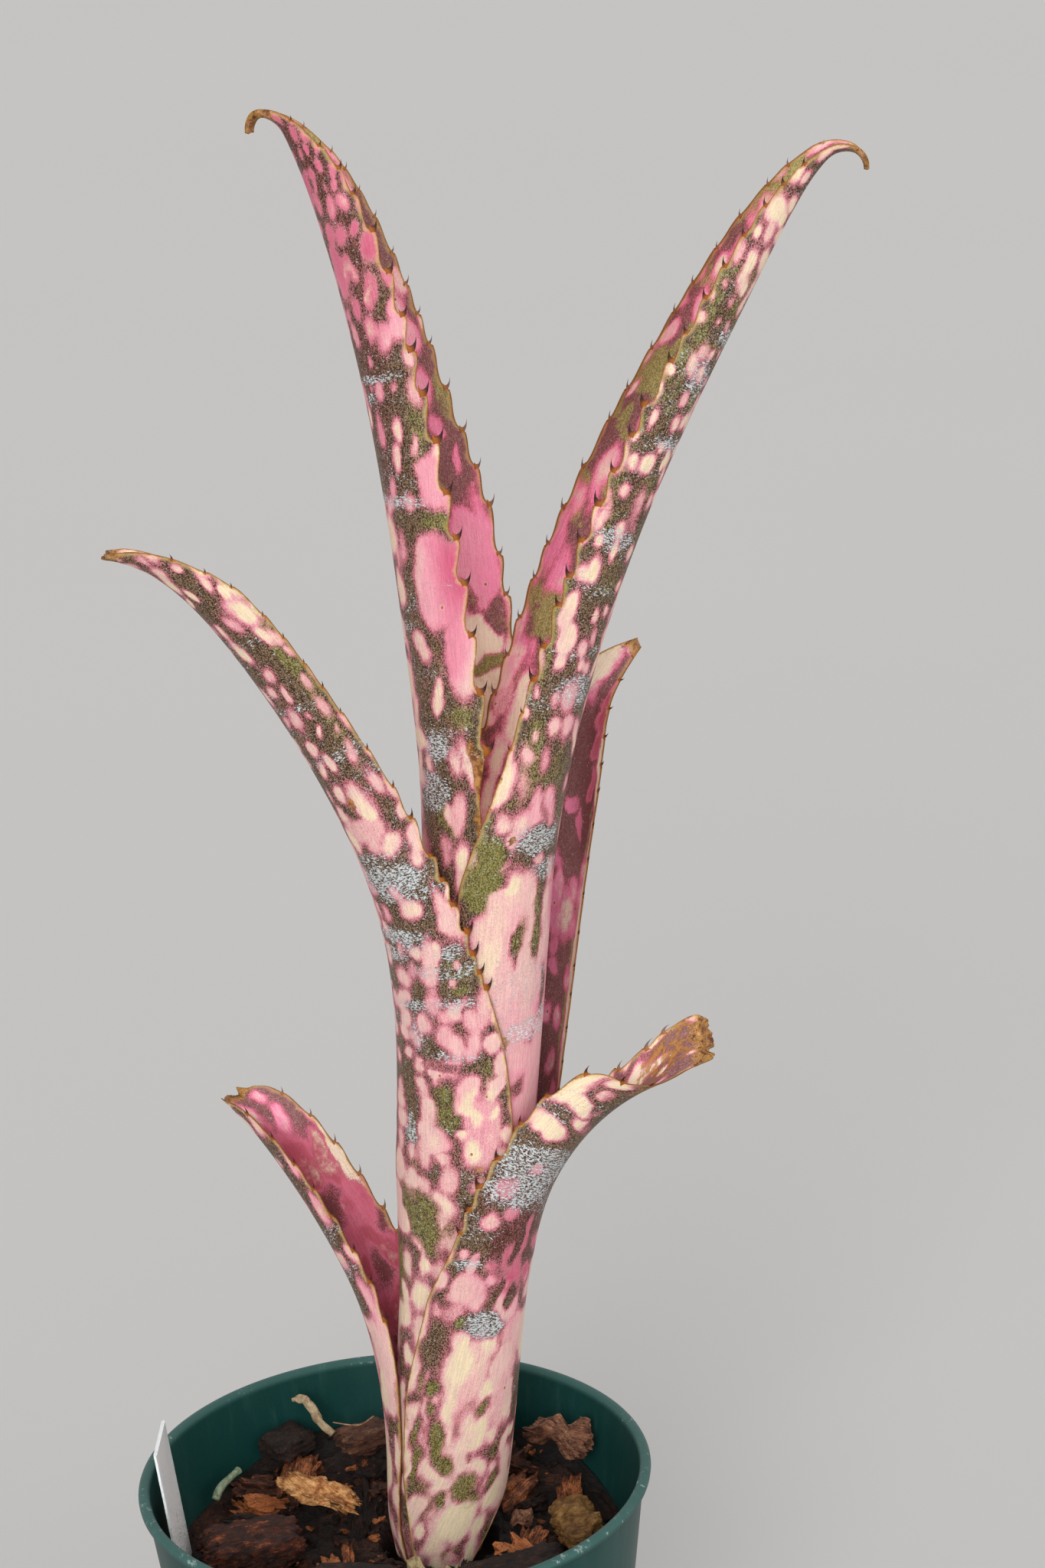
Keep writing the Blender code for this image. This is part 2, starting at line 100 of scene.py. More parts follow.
# How far past the sheath a blade comes to its lean, and past the parting it loses its skew
EASE_LENGTH = 25
FADE_LENGTH = 30

# azimuth, layer, skew, parting, rows, sheath and blade: the leaf's course, as the frame has it
#   sheath: distance along the leaf, width, turn in degrees
#   blade: distance, lean degrees, width, radius of the roll, turn and sway degrees
# coat: distance, then the spots' length and width, the share that they cover, and how
#   cream, how deep pink, how green and how scurfy the outer face is there, from 0 up
# thorns: (distance, spacing, size) rows for the near and the far margin, from the first thorn on
# marks: features placed one by one, in groups of one kind: distance, place across, half-length,
#   half-width, strength and, where it lies askew, slant; "in " is for the inner face
# dry: length of the withered tip
Leaf = namedtuple("Leaf", "name azimuth layer skew parting rows sheath blade coat thorns marks dry")
Margin = namedtuple("Margin", "thorns table line side near")

LEAVES = [
    Leaf(
        "leaf_tall_left", 162, 0, 0.68, 178, 28,
        [(0, 18, 0), (60, 36, 0), (110, 46, 6), (136, 46, 9), (150, 45, 8)],
        [
            (172, 6.5, 44, 13, 5, 0), (188, 10, 52, 13.5, 1, 0), (220, 12, 49, 12.5, 0, 0),
            (250, 15.5, 40, 10.8, 8, 0), (280, 21, 32.5, 9.5, 16, 0), (298, 27, 22.5, 7, 18, 0),
            (308, 36, 11, 4.5, 18, 0), (312, 85, 5.5, 2.5, 15, 0), (315, 150, 4, 2, 15, 0),
            (318, 190, 3, 2, 15, 0),
        ],
        [
            (0, 9, 5, 0.8, 0.5, 0.3, 0.3, 0.1), (150, 9, 4.5, 0.52, 0.5, 0.5, 0.4, 0.1),
            (168, 8, 4.0, 0.44, 0.7, 0.5, 0.3, 0.3), (200, 7.5, 3.8, 0.42, 0.7, 0.5, 0.35, 0.25),
            (230, 6.5, 3.2, 0.37, 0.5, 0.6, 0.35, 0.22), (245, 5.6, 2.6, 0.35, 0.4, 0.7, 0.35, 0.2),
            (262, 4.4, 2.4, 0.39, 0.3, 0.9, 0.4, 0.15), (285, 3.8, 2.2, 0.4, 0.25, 1.2, 0.3, 0.12),
            (302, 2.8, 1.6, 0.42, 0.15, 1.35, 0.2, 0.1), (318, 2.2, 1.3, 0.42, 0.2, 1.1, 0, 0),
        ],
        (
            [(183, 10, 1.1), (240, 10, 1.1), (285, 7, 0.9), (302, 5, 0.5)],
            [(160, 10, 0.9), (240, 8.5, 0.9), (300, 5, 0.4)],
        ),
        [
            ("ground", (206, 16, 26, 7, 0.75), (228.5, 17, 3, 8, 1), (243, 14, 10, 6, 0.9)),
            ("cream", (247, 13.4, 3.2, 1.2, 0.9), (241.6, 12.4, 2.8, 1.1, 0.85)),
            ("pink", (244, 17, 2.6, 0.8, 0.9), (247, 8.9, 4, 1.2, 0.9), (235.7, 10.4, 3, 1.3, 0.9),
             (232.7, 15, 2.2, 1.1, 0.9), (217, 19.3, 9.6, 5.8, 1.1, -0.04), (202.5, 23.0, 9.6, 3.4, 1.1),
             (236, 19.8, 5.4, 3.4, 1.1, -0.1)),
            ("blush", (213, 20.5, 16, 6, 0.75), (236, 20, 6, 4, 0.5)),
            ("cream", (226, 7, 4.6, 3.4, 0.9), (215.5, 8.6, 3.8, 2.2, 0.9),
             (204.5, 14, 3.4, 2.4, 0.8, -0.3), (194, 16.5, 4.2, 1.5, 0.9, 0.25), (207, 5, 3.6, 4.2, 0.9),
             (196, 5.5, 4, 4, 0.9), (185, 8, 2.8, 4.4, 0.9, 0.2), (176, 5.5, 3, 4, 0.8),
             (181, 21, 5, 1.4, 0.8)),
            ("pink", (224, 11.6, 3.4, 0.9, 0.8), (171, 17.5, 4.5, 1.8, 0.9, 0.3)),
            ("green", (190, 21.5, 4, 3, 0.95), (228.6, 20.5, 2.2, 4.4, 0.95), (200, 17.5, 8, 1.4, 0.7),
             (169, 15, 3.5, 3, 0.9), (252, 17.5, 22, 1.8, 0.75), (282, 13.5, 16, 1.6, 0.7)),
            ("ground", (188, 13, 3, 3.6, 0.9)),
            ("scurf", (184, 14, 4, 4.4, 0.95), (174, 11, 5, 5, 0.9), (233, 10, 1.5, 9, 1.1),
             (257, 9, 1.3, 6, 1.0, 1.2), (253, 6, 1.2, 4, 0.8), (208, 9, 1.6, 4, 0.8)),
            ("brown", (178, 22.6, 6, 1.5, 1.2), (169, 21.5, 3, 1, 0.7)),
            ("in ground", (243, -16, 16, 7, 0.95)),
            ("in green", (240, -12, 20, 2.2, 0.9), (193, -19, 3, 9, 1)),
            ("in pink", (216, -19, 10.5, 5.5, 1, 0.1), (243.5, -16, 2.6, 1.6, 0.9),
             (236, -18.5, 3, 1.2, 0.85), (251, -14, 5, 2.6, 1), (262, -14.5, 5, 2.6, 1)),
            ("in blush", (219, -20, 12, 6, 0.45)),
            ("in cream", (199, -19, 6, 5, 1), (186, -19, 9, 8, 1)),
            ("in ground", (193.5, -19, 1.6, 7, 0.9), (204, -22, 3, 2.4, 1)),
        ],
        14,
    ),
    Leaf(
        "leaf_tall_right", 8, 0, 0.68, 178, 28,
        [(0, 20, 0), (60, 42, 0), (100, 56, 0), (140, 58, 0), (155, 56, 0)],
        [
            (172, 6, 49, 12.6, 2, 0), (190, 10, 43, 10, 10, 0), (225, 16, 38, 8.5, 11, 0),
            (260, 21.5, 30.5, 6.7, 10, 0), (290, 23, 22, 5, 4, 0), (304, 27, 14.5, 3.8, 0, 0),
            (312, 42, 8.5, 2.8, 0, 0), (316, 85, 5.5, 2, 0, 0), (320, 140, 4, 2, 0, 0),
            (323, 180, 3, 2, 0, 0),
        ],
        [
            # the row at 116 mm, with much blush and little cream and green, darkens the lowest part of this
            # leaf: painted shade from the leaves around it
            (0, 9, 5, 0.75, 0.3, 0.7, 0.1, 0.05), (116, 9, 4.4, 0.8, 0.1, 1.0, 0.1, 0.12),
            (138, 9, 4.4, 0.49, 0.4, 0.4, 0.4, 0.1), (165, 6.5, 3.2, 0.43, 0.3, 0.6, 0.5, 0.25),
            (182, 5.6, 2.8, 0.43, 0.3, 0.6, 0.6, 0.2), (198, 4.6, 2.2, 0.34, 0.3, 0.5, 0.4, 0.4),
            (215, 4.8, 2.3, 0.38, 0.5, 0.5, 0.5, 0.35), (240, 4.4, 2.0, 0.36, 0.7, 0.4, 0.7, 0.3),
            (265, 4.0, 1.9, 0.38, 0.9, 0.2, 0.8, 0.25), (290, 4.4, 2.1, 0.48, 0.9, 0.3, 0.7, 0.12),
            (306, 4, 2, 0.53, 0.8, 0.6, 0.2, 0.1), (323, 3, 1.6, 0.45, 0.5, 0.6, 0.1, 0),
        ],
        (
            [(172, 5, 0.3), (190, 6, 0.5), (196, 6.5, 1.05), (240, 8, 1.0), (300, 6, 0.6)],
            [(172, 9, 0.9), (230, 8.5, 0.9), (300, 6, 0.5)],
        ),
        [
            ("pink", (140, -17, 22, 9.5, 1), (140, -5, 20, 5, 0.9)),
            ("cream", (149, -21.5, 6, 3.4, 0.75), (158, -17, 4.6, 2.2, 0.8)),
            ("ground", (156.5, -24.6, 5.6, 2.4, 1), (163.5, -22, 4.6, 2.2, 1, 0.3), (159, -21.4, 2, 2.6, 1),
             (150, -10.8, 10, 1.5, 0.95), (145.5, -15.6, 5, 1.0, 0.9, 0.1), (133, -7, 6, 0.9, 0.8)),
            ("green", (160, -23.5, 9, 4.4, 1.1), (148, -13, 11, 4, 0.85), (183, -18, 10, 2.2, 0.9),
             (207, -19, 14, 1.6, 0.9), (240, -15.5, 18, 1.4, 0.8), (275, -11, 20, 1.2, 0.8)),
            ("pink", (149.4, -13.2, 6.4, 1.5, 1), (155, -13.8, 3, 1.0, 0.9), (139.5, -12.6, 2.4, 1.0, 0.9)),
            ("cream", (142, -21, 5, 2.4, 0.9)),
            ("brown", (150.1, -16.4, 0.6, 0.4, 1.2), (124, -16.6, 3, 1.3, 0.62), (173, -26.6, 7, 0.9, 0.9),
             (167, -19.2, 0.7, 0.7, 1.3)),
            ("grey", (133, -18, 8, 3, 0.8), (136, -12, 5, 9, 0.9), (128, -16, 9, 2.4, 0.8)),
            ("ground", (166, -12, 4.5, 6, 0.9)),
            ("pink", (162.5, -12, 2, 1.4, 0.9), (167, -19.2, 1.8, 1.5, 1)),
            ("cream", (177, -22.5, 5, 2, 0.9, 0.35)),
            ("pink", (174, -15.5, 3.8, 1.5, 0.95), (173, -11, 3.6, 1.2, 0.9)),
            ("blush", (178, -14, 9, 7, 0.4), (134, -6, 8, 5, 0.5), (155, -4, 8, 3, 0.7)),
            ("dark", (158, -6, 9, 3, 0.8)),
            ("scurf", (167, -13, 3.4, 7, 1.05), (160, -9, 2.2, 5, 1.0), (197, -11, 3.4, 5, 1.0),
             (228, -12, 2.6, 5, 1.0), (249, -8, 2.2, 4, 1.0), (263, -8, 5, 3, 0.95), (272, -5, 3, 3, 0.9)),
            ("white", (126, -9, 2.6, 7, 1.2, -0.4)),
            # dull: painted shade on the lowest part of this leaf, which the other leaves shade
            ("dull", (120, -9, 9, 9, 0.8)),
            ("in pink", (222, 17, 8, 3, 0.9), (190, 19, 7, 3, 0.8)),
            ("in blush", (215, 16, 22, 6, 0.5)),
        ],
        10,
    ),
    Leaf(
        "leaf_rear_right", 57, 2.45, -0.75, 70, 22,
        [(0, 15, 0), (40, 22, 0), (70, 26, 0)],
        [
            (82, 15, 28, 14, 0, 0), (95, 12, 28, 14, 0, 0), (110, 5.5, 27, 14.4, 0, 0),
            (140, 7, 27, 14, 0, 0), (165, 8, 25, 13, 0, -3), (180, 9, 21, 12, 0, -10),
            (192, 12, 13, 10, 0, -28), (204, 16, 3, 8, 0, -38),
        ],
        [
            (0, 9, 5, 0.63, 0.3, 0.5, 0.3, 0.1), (110, 9, 4, 0.38, 0.5, 0.6, 0.3, 0),
            (150, 9, 3.6, 0.4, 0.4, 0.9, 0.3, 0), (185, 8, 3, 0.45, 0.3, 1.0, 0.4, 0),
            (204, 5, 2.5, 0.54, 0.5, 0.6, 0.2, 0),
        ],
        ([(80, 7, 0.5), (204, 6, 0.5)], [(80, 7, 0.5), (204, 6, 0.5)]),
        [
            ("in cream", (193.5, 3.4, 9, 2.8, 1)),
            ("in pink", (192, -3.6, 7, 1.8, 1)),
            ("in blush", (190, -4, 9, 2.6, 0.6)),
            ("in ground", (174, -2, 9, 4, 1), (159, -5, 9, 5, 1)),
            ("in pink", (186, -4.4, 6, 1.5, 1, 0.3), (179.5, -5.6, 3.4, 1.7, 1), (169, -6.9, 3, 1.5, 0.9),
             (165.4, -2.2, 2.2, 1.8, 1), (161.5, -5.4, 3.4, 1.1, 0.9, 0.3), (141.5, -5.6, 6.4, 3.2, 1)),
            ("in cream", (141.5, -5.6, 5.4, 2.7, 0.9), (136, -13.0, 32, 2.2, 1.2),
             (179, -8.6, 13, 1.8, 1.2, 0.28)),
            ("in pink", (134, -3.2, 2.2, 1.5, 0.9), (123, -0.5, 3, 2, 0.9)),
            ("in green", (138, -10.2, 34, 0.9, 0.8)),
            ("cream", (150, -12, 60, 1.6, 0.8)),
        ],
        6,
    ),
    Leaf(
        "leaf_mid_left", 195, 2.05, 0, 95, 24,
        [(0, 26, 0), (60, 48, 0), (95, 58, 0)],
        [
            (122, 6.3, 53, 15, 0, 0), (145, 17, 39, 13, 0, 0), (170, 28, 27, 8, -1, 0),
            (195, 34, 23.5, 7, -4, 0), (222, 42, 21.5, 6.5, -7, 0), (237, 58, 14, 5, -8, 0),
            (248, 86, 6, 3, -8, 0),
        ],
        [
            (0, 8, 4, 0.75, 0.6, 0.2, 0.5, 0.1), (70, 7, 4.5, 0.51, 0.6, 0.35, 0.9, 0.15),
            (88, 6, 4.2, 0.51, 0.35, 0.4, 0.8, 0.2), (104, 4.8, 3.8, 0.54, 0.35, 0.45, 0.5, 0.25),
            (118, 4.4, 3.4, 0.52, 0.3, 0.5, 0.4, 0.35), (140, 4.2, 3.0, 0.46, 0.3, 0.6, 0.25, 0.5),
            (155, 5.0, 3.4, 0.39, 0.4, 0.6, 0.05, 0.55), (170, 6, 3.2, 0.43, 0.5, 0.5, 0.05, 0.3),
            (185, 4.8, 2.2, 0.36, 0.5, 0.6, 0.05, 0.4), (210, 4.6, 1.9, 0.34, 0.6, 0.6, 0.1, 0.35),
            (228, 5, 2.2, 0.43, 0.9, 0.5, 0.1, 0.1), (248, 4, 2.4, 0.8, 1, 0.2, 0.1, 0),
        ],
        (
            [(133.5, 3.5, 0.9), (140, 5, 1.05), (163, 7, 0.9), (176, 8, 0.42), (240, 6, 0.4)],
            [(150, 7, 0.4), (240, 6, 0.4)],
        ),
        [
            ("ground", (153, 10, 8, 8, 0.9)),
            ("cream", (151.6, 11.6, 2.3, 2.2, 0.85)),
            ("pink", (154.5, 9.6, 3.4, 1.1, 0.9, -0.5), (150.5, 5.2, 2.2, 1.5, 0.9),
             (155, 2, 1.8, 2.4, 0.9), (148, 18.4, 7, 1.9, 0.95, -0.25)),
            ("scurf", (158, 8, 3.2, 9, 1.1), (145.6, 6, 1.9, 8, 1.1), (141, 3, 1.8, 6, 1.0),
             (142, 17.5, 1.4, 3.2, 1.0), (130, 8, 1.6, 6, 1.0), (131.5, 17.5, 1.4, 5, 1.0),
             (124, 8, 3.4, 2.6, 0.95), (120.5, 17, 1.3, 5, 0.9), (102, 5, 4.4, 2.2, 1.0)),
            ("ground", (138, 18, 5.4, 3, 1)),
            ("pink", (139.4, 18.8, 1.1, 1.0, 0.9), (136, 17.2, 1.2, 0.9, 0.9), (140, 13, 6, 1.7, 1, 0.1),
             (128, 20.2, 2.4, 1.9, 0.95), (121.6, 19.6, 2.2, 1.7, 0.95), (124.6, 14.4, 2.8, 2.2, 0.95),
             (131, 13, 2.4, 2, 0.9)),
            ("green", (137, 18.4, 5, 3, 0.75), (109, 14.6, 6, 4, 0.85), (115, 23, 6, 2, 0.8),
             (83, 10, 9, 6, 0.85), (212, 12.4, 36, 1.6, 0.9)),
            ("ground", (118, 14, 1.0, 6, 0.5), (110, 14.2, 4.4, 2.0, 1), (106.4, 16.6, 1.8, 2.6, 1, 0.6),
             (114, 10, 3, 0.8, 0.8), (113.5, 21.8, 3, 1.1, 0.9), (108, 5.4, 6.4, 1.5, 1)),
            ("pink", (110, 1.4, 2.6, 1.8, 0.9), (109, 9, 6, 1.3, 0.9), (101.6, 11.6, 3.8, 3.8, 1),
             (91, 9, 3, 2.4, 0.95)),
            ("cream", (101.6, 12, 1.6, 1.6, 0.7), (105, 22, 9, 4.4, 0.7)),
            ("blush", (106, 18, 8, 6, 0.25)),
            ("grey", (100, 21, 7, 3, 0.35)),
            ("brown", (96.5, 20.4, 2.6, 2.2, 0.42), (176, 7.6, 1.6, 0.8, 0.7)),
            ("pink", (93.5, 15, 4, 2, 0.9)),
            ("ground", (83, 10, 7, 4.4, 0.8)),
            ("cream", (84, 13.6, 3.4, 1.2, 0.7), (169, 7, 3.6, 5, 0.7)),
        ],
        5,
    ),
    Leaf(
        "leaf_low_left", 150, 3.5, 0.55, 42, 18,
        [(0, 24, 0), (12, 28, 0), (18, 29, 0)],
        [
            (30, 10, 30, 12.5, 3, 0), (45, 19, 30, 11, 5, 0), (60, 33, 28, 9, 4, 0),
            (76, 42, 26, 8.5, 3, 0), (92, 49, 23, 8, 1, 0), (103, 60, 17, 7, 0, 0), (109, 70, 7, 6, 0, 0),
        ],
        [
            (0, 9, 4, 0.8, 0.7, 0.2, 0.8, 0.1), (40, 8, 3.5, 0.75, 0.5, 0.4, 0.4, 0.25),
            (60, 7, 3.2, 0.53, 0.4, 0.9, 0.1, 0.4), (85, 7, 3, 0.47, 0.4, 0.9, 0.1, 0.3),
            (109, 5, 3, 0.59, 0.7, 0.3, 0, 0.1),
        ],
        ([(52, 7, 0.8), (109, 6, 0.6)], [(52, 7, 0.8), (109, 6, 0.6)]),
        [
            ("in pink", (76, -6.5, 5, 2.6, 0.45), (66, -6, 4, 2.8, 0.5), (95, -4, 5, 3, 0.35)),
            ("in cream", (88, -11.5, 14, 1.6, 1)),
            ("in blush", (60, 2, 40, 12, 0.6)),
            ("cream", (101, 0, 7, 7, 0.5)),
            ("pink", (46, 13, 12, 3, 1.0)),
        ],
        5,
    ),
    Leaf(
        "leaf_low_right", -12, 3.5, 0.15, 64, 24,
        [(0, 11, -80), (12, 20, -70), (25, 34, -50), (45, 42, -34), (64, 40, -26)],
        [
            (76, 7, 34, 15.5, -26, 0), (86, 15, 27.5, 15.5, -33, 0), (96, 26, 25.5, 13, -34, 0),
            (105, 36, 25, 9, -34, 0), (115, 48, 23.5, 7, -22, 0), (121, 56, 17, 7.5, 10, 0),
            (126, 66, 13, 9, 38, 0), (131, 78, 12, 12, 45, 0), (135, 82, 8, 12, 45, 0),
        ],
        [
            (0, 8, 4, 0.95, 0.7, 0.2, 0.9, 0.02), (20, 6, 3.6, 0.85, 0.7, 0.2, 0.7, 0.08),
            (40, 7, 3.8, 0.85, 0.6, 0.3, 0.5, 0.12), (56, 9, 5, 0.85, 0.5, 0.4, 0.4, 0.1),
            (70, 5.4, 3.6, 0.48, 0.35, 0.75, 0.0, 0.15), (84, 4.4, 3.2, 0.36, 0.5, 1, 0, 0.3),
            (96, 5, 3.4, 0.26, 0.7, 0.7, 0, 0.6), (106, 6, 3.4, 0.27, 1, 0.3, 0.8, 0.35),
            (116, 4.4, 2.4, 0.3, 1, 0.1, 0.9, 0.15), (135, 4, 2.2, 0.34, 0.9, 0.2, 0.4, 0),
        ],
        (
            [(80.5, 4, 0.95), (93, 5.5, 1.05), (104, 7, 0.8), (135, 3, 0.9)],
            [(88, 7, 0.8), (112, 6, 0.8), (135, 3, 0.9)],
        ),
        [
            ("ground", (92, -3, 18, 14, 0.75)),
            ("cream", (110, -6.6, 2.2, 3.8, 1, -0.5), (106.4, -1.6, 1.8, 3.2, 1, -0.7),
             (103, -7.4, 2.0, 4.4, 1, -0.5), (115, -5.4, 2, 1.4, 0.9), (112.4, -9.4, 1.0, 0.9, 0.9)),
            ("scurf", (95, -3, 5, 10, 1.05), (90, -4, 3.4, 9, 1.1), (105, -8.5, 0.9, 4, 0.8),
             (75.2, -12.4, 1.2, 4, 1.0), (61, -6.6, 3.2, 5.6, 1.3)),
            ("pink", (95, -3.4, 1.5, 1.7, 0.85), (90.4, -7.6, 2.4, 2.8, 0.75)),
            ("cream", (84, -9.2, 2.2, 2.3, 0.8)),
            ("pink", (86, -4.6, 1.9, 2.4, 0.8), (80.5, 0.5, 5, 1.4, 0.9, 0.35),
             (76, -4, 3.4, 1.5, 0.85, 0.2), (72, -1.4, 5.2, 2.2, 0.85, -0.2), (77, -14, 1.2, 1.3, 0.9),
             (76.8, -11.4, 1.0, 1.0, 0.9)),
            ("blush", (76, -1, 9, 7, 0.9)),
            ("ground", (78.5, -2, 3.6, 1.2, 0.9, 0.5), (68, -5.2, 4.4, 0.9, 0.9, 0.2),
             (66.5, -1.6, 3, 1.4, 1)),
            ("pink", (69.4, -12.2, 4.4, 4.0, 1)),
            ("cream", (69.4, -12.4, 2.6, 2.6, 0.45)),
            ("ground", (61, -6.6, 2.8, 4.8, 1), (61.5, -13, 1.2, 1.0, 0.9), (118, -2, 8, 4, 0.5),
             (108, 2, 8, 4, 0.6)),
            ("green", (61.5, -13, 1.4, 1.2, 1), (30, -8, 22, 5, 0.75)),
            ("cream", (50, -8, 9, 4.5, 0.75)),
            ("pink", (52, 1, 12, 4, 0.9)),
            ("moss", (45, -14.7, 2.4, 1.6, 1), (40, -14.4, 2.6, 1.1, 0.9, -0.2),
             (33.5, -11.4, 4.6, 1.5, 1, -0.2), (28.5, -8.4, 2.8, 2.2, 1, -0.3),
             (40.8, -3.6, 2.6, 1.2, 0.9, 0.3), (23.5, -3.0, 3.6, 2.8, 1, -0.3), (19, 0.6, 3, 2.2, 1),
             (18.5, -5.6, 3.2, 1.3, 0.9, -0.4), (23, 3.6, 2.2, 1.4, 0.8), (34, -16.2, 4, 1.1, 0.9),
             (46, -17.8, 3, 1.2, 0.8), (26, -14, 6, 1.2, 0.9, -0.2), (30, -3.4, 1.6, 0.8, 0.7)),
            ("pink", (14, -1, 6, 5, 0.9)),
            ("cream", (14, 0, 6, 4, 1)),
            ("grey", (48, 4, 14, 3, 0.4)),
            ("in brown", (124, 2, 9, 5, 0.5)),
            ("brown", (126, -4, 7, 5, 0.55), (106, -13.1, 12, 1.2, 0.75, 0.1),
             (90, -15.0, 8, 0.9, 0.6, 0.1)),
        ],
        9,
    ),
]

# The coats of the leaves' inner faces
INSIDES = {
    "leaf_tall_left": [
        (0, 9, 5, 0.6, 0.5, 0.5, 0.6, 0), (190, 8, 6, 0.75, 0.9, 0.3, 0.9, 0),
        (206, 12, 6, 0.7, 0.5, 0.6, 0.7, 0), (235, 10, 4, 0.34, 0.2, 0.8, 0.55, 0),
        (270, 8, 3.4, 0.36, 0.5, 0.6, 0.9, 0.05), (318, 5, 2.5, 0.45, 0.5, 0.6, 0.8, 0),
    ],
    "leaf_tall_right": [
        (0, 9, 5, 0.6, 0.5, 0.5, 0.6, 0), (165, 9, 5, 0.85, 0.9, 0.15, 0.3, 0),
        (188, 8, 4, 0.7, 0.8, 0.3, 0.5, 0), (204, 7, 3.6, 0.45, 0.3, 0.6, 0.9, 0),
        (230, 7.5, 3.4, 0.5, 0.4, 0.6, 0.9, 0), (265, 6.5, 3, 0.5, 0.5, 0.6, 1, 0),
        (300, 5, 2.4, 0.55, 0.6, 0.5, 1, 0), (323, 4, 2, 0.6, 0.8, 0.5, 0.8, 0),
    ],
    # the deep blush of the rear right leaf darkens its inner face: partly its own dark red, partly painted
    # shade, as it lies in shade behind the tube
    "leaf_rear_right": [
        (0, 9, 5, 0.5, 0.3, 0.9, 0, 0), (110, 6, 3.4, 0.26, 0.3, 1.3, 0.2, 0),
        (150, 6, 3.4, 0.3, 0.2, 1.2, 0.2, 0), (185, 9, 4, 0.46, 0.2, 1.4, 0.1, 0),
        (204, 6, 3, 0.6, 0.6, 0.6, 0.2, 0),
    ],
    "leaf_mid_left": [(0, 8, 4, 0.5, 0.5, 0.6, 0.4, 0), (248, 5, 3, 0.5, 0.6, 0.6, 0.5, 0)],
    "leaf_low_left": [
        (0, 9, 4, 0.55, 0.3, 1.7, 0, 0), (60, 8, 4.4, 0.62, 0.1, 1.75, 0, 0),
        (90, 7, 4.2, 0.6, 0.2, 1.7, 0, 0), (109, 6, 4, 0.6, 0.5, 0.8, 0, 0),
    ],
    "leaf_low_right": [
        (0, 9, 4, 0.5, 0.5, 0.8, 0.2, 0), (115, 5, 2.2, 0.3, 0.9, 0.3, 0.4, 0),
        (135, 4, 2, 0.3, 1, 0.3, 0.3, 0),
    ],
}

# What each kind of mark does: which grid it changes, how, and by how much
MARKS = {
    "pink": [("spot", "raise", 0.95), ("cream", "lower", 0.8)],
    "cream": [("spot", "raise", 1.2), ("cream", "add", 0.9)],
    "ground": [("spot", "lower", 1), ("pale", "lower", 1)],
    "green": [("green", "raise", 0.9)],
    "moss": [("spot", "lower", 0.78), ("green", "raise", 1)],
    "dark": [("green", "lower", 0.9)],
    "scurf": [("scurf", "raise", 1.15)],
    "white": [("scurf", "raise", 1.1), ("pale", "raise", 1)],
    "grey": [("pale", "raise", 0.4)],
    "brown": [("brown", "raise", 0.9)],
    "blush": [("blush", "add", 0.9)],
    # dull takes out green and cream and adds blush: painted shade, not a colour of the leaf
    "dull": [("green", "lower", 1), ("cream", "lower", 1), ("blush", "raise", 1)],
}

# Which margin is the near one: 1 is the one counter-clockwise from the leaf's middle
NEAR_SIDE = {
    "leaf_tall_left": 1, "leaf_tall_right": -1, "leaf_rear_right": -1,
    "leaf_mid_left": 1, "leaf_low_left": 1, "leaf_low_right": -1,
}
# Shares of the half-width by which a blade is wider, and a tip narrower, on the near side
WIDER_NEAR = {"leaf_mid_left": 0.28}
NARROW_TIP = {"leaf_rear_right": 0.62}

# Further tints of the leaves: inner faces, spots, margins, withered skin, scales and thorns
TINTS = {
    "wine": (0.25, 0.050, 0.055), "dusk": (0.26, 0.105, 0.105), "dawn": (0.52, 0.27, 0.26),
    "deep": (0.20, 0.050, 0.055), "olive": (0.30, 0.26, 0.085), "lime": (0.66, 0.60, 0.26),
    "shell": (1.0, 0.64, 0.64), "rose": (1.0, 0.31, 0.50), "ruby": (0.50, 0.085, 0.13),
    "tan": (0.62, 0.44, 0.30), "coral": (0.85, 0.20, 0.32), "butter": (1.0, 0.84, 0.64),
    "moss": (0.46, 0.47, 0.17), "pinprick": (0.34, 0.125, 0.020), "sap": (0.36, 0.31, 0.06),
    "honey": (0.46, 0.180, 0.020), "singed": (0.16, 0.050, 0.010), "toast": (0.50, 0.22, 0.040),
    "paper": (0.62, 0.36, 0.09), "char": (0.10, 0.026, 0.010), "umber": (0.10, 0.030, 0.010),
    "slate": (0.17, 0.18, 0.185), "chalk": (0.84, 0.80, 0.82), "soot": (0.035, 0.008, 0.006),
    "ash": (0.24, 0.17, 0.15), "ember": (0.36, 0.105, 0.014), "fawn": (0.40, 0.20, 0.08),
}

# Loose bark on the mix: heading in degrees and kind of bark
BARK = {
    "bark_flake_orange": (-50, "orange"), "bark_chunk_left": (15, "red"), "bark_chip_rear": (25, "brown"),
    "bark_chip_rear_right": (-35, "tan"), "bark_chip_right": (15, "ochre"),
    "bark_slab_front_right": (20, "black"), "bark_chip_rear_left": (40, "black"),
    "bark_chip_small_right": (70, "tan"), "bark_chip_rear_middle": (10, "brown"),
    "bark_slab_front": (-15, "black"), "bark_chip_front_left": (50, "brown"),
    "bark_chip_front_edge": (5, "red"),
}
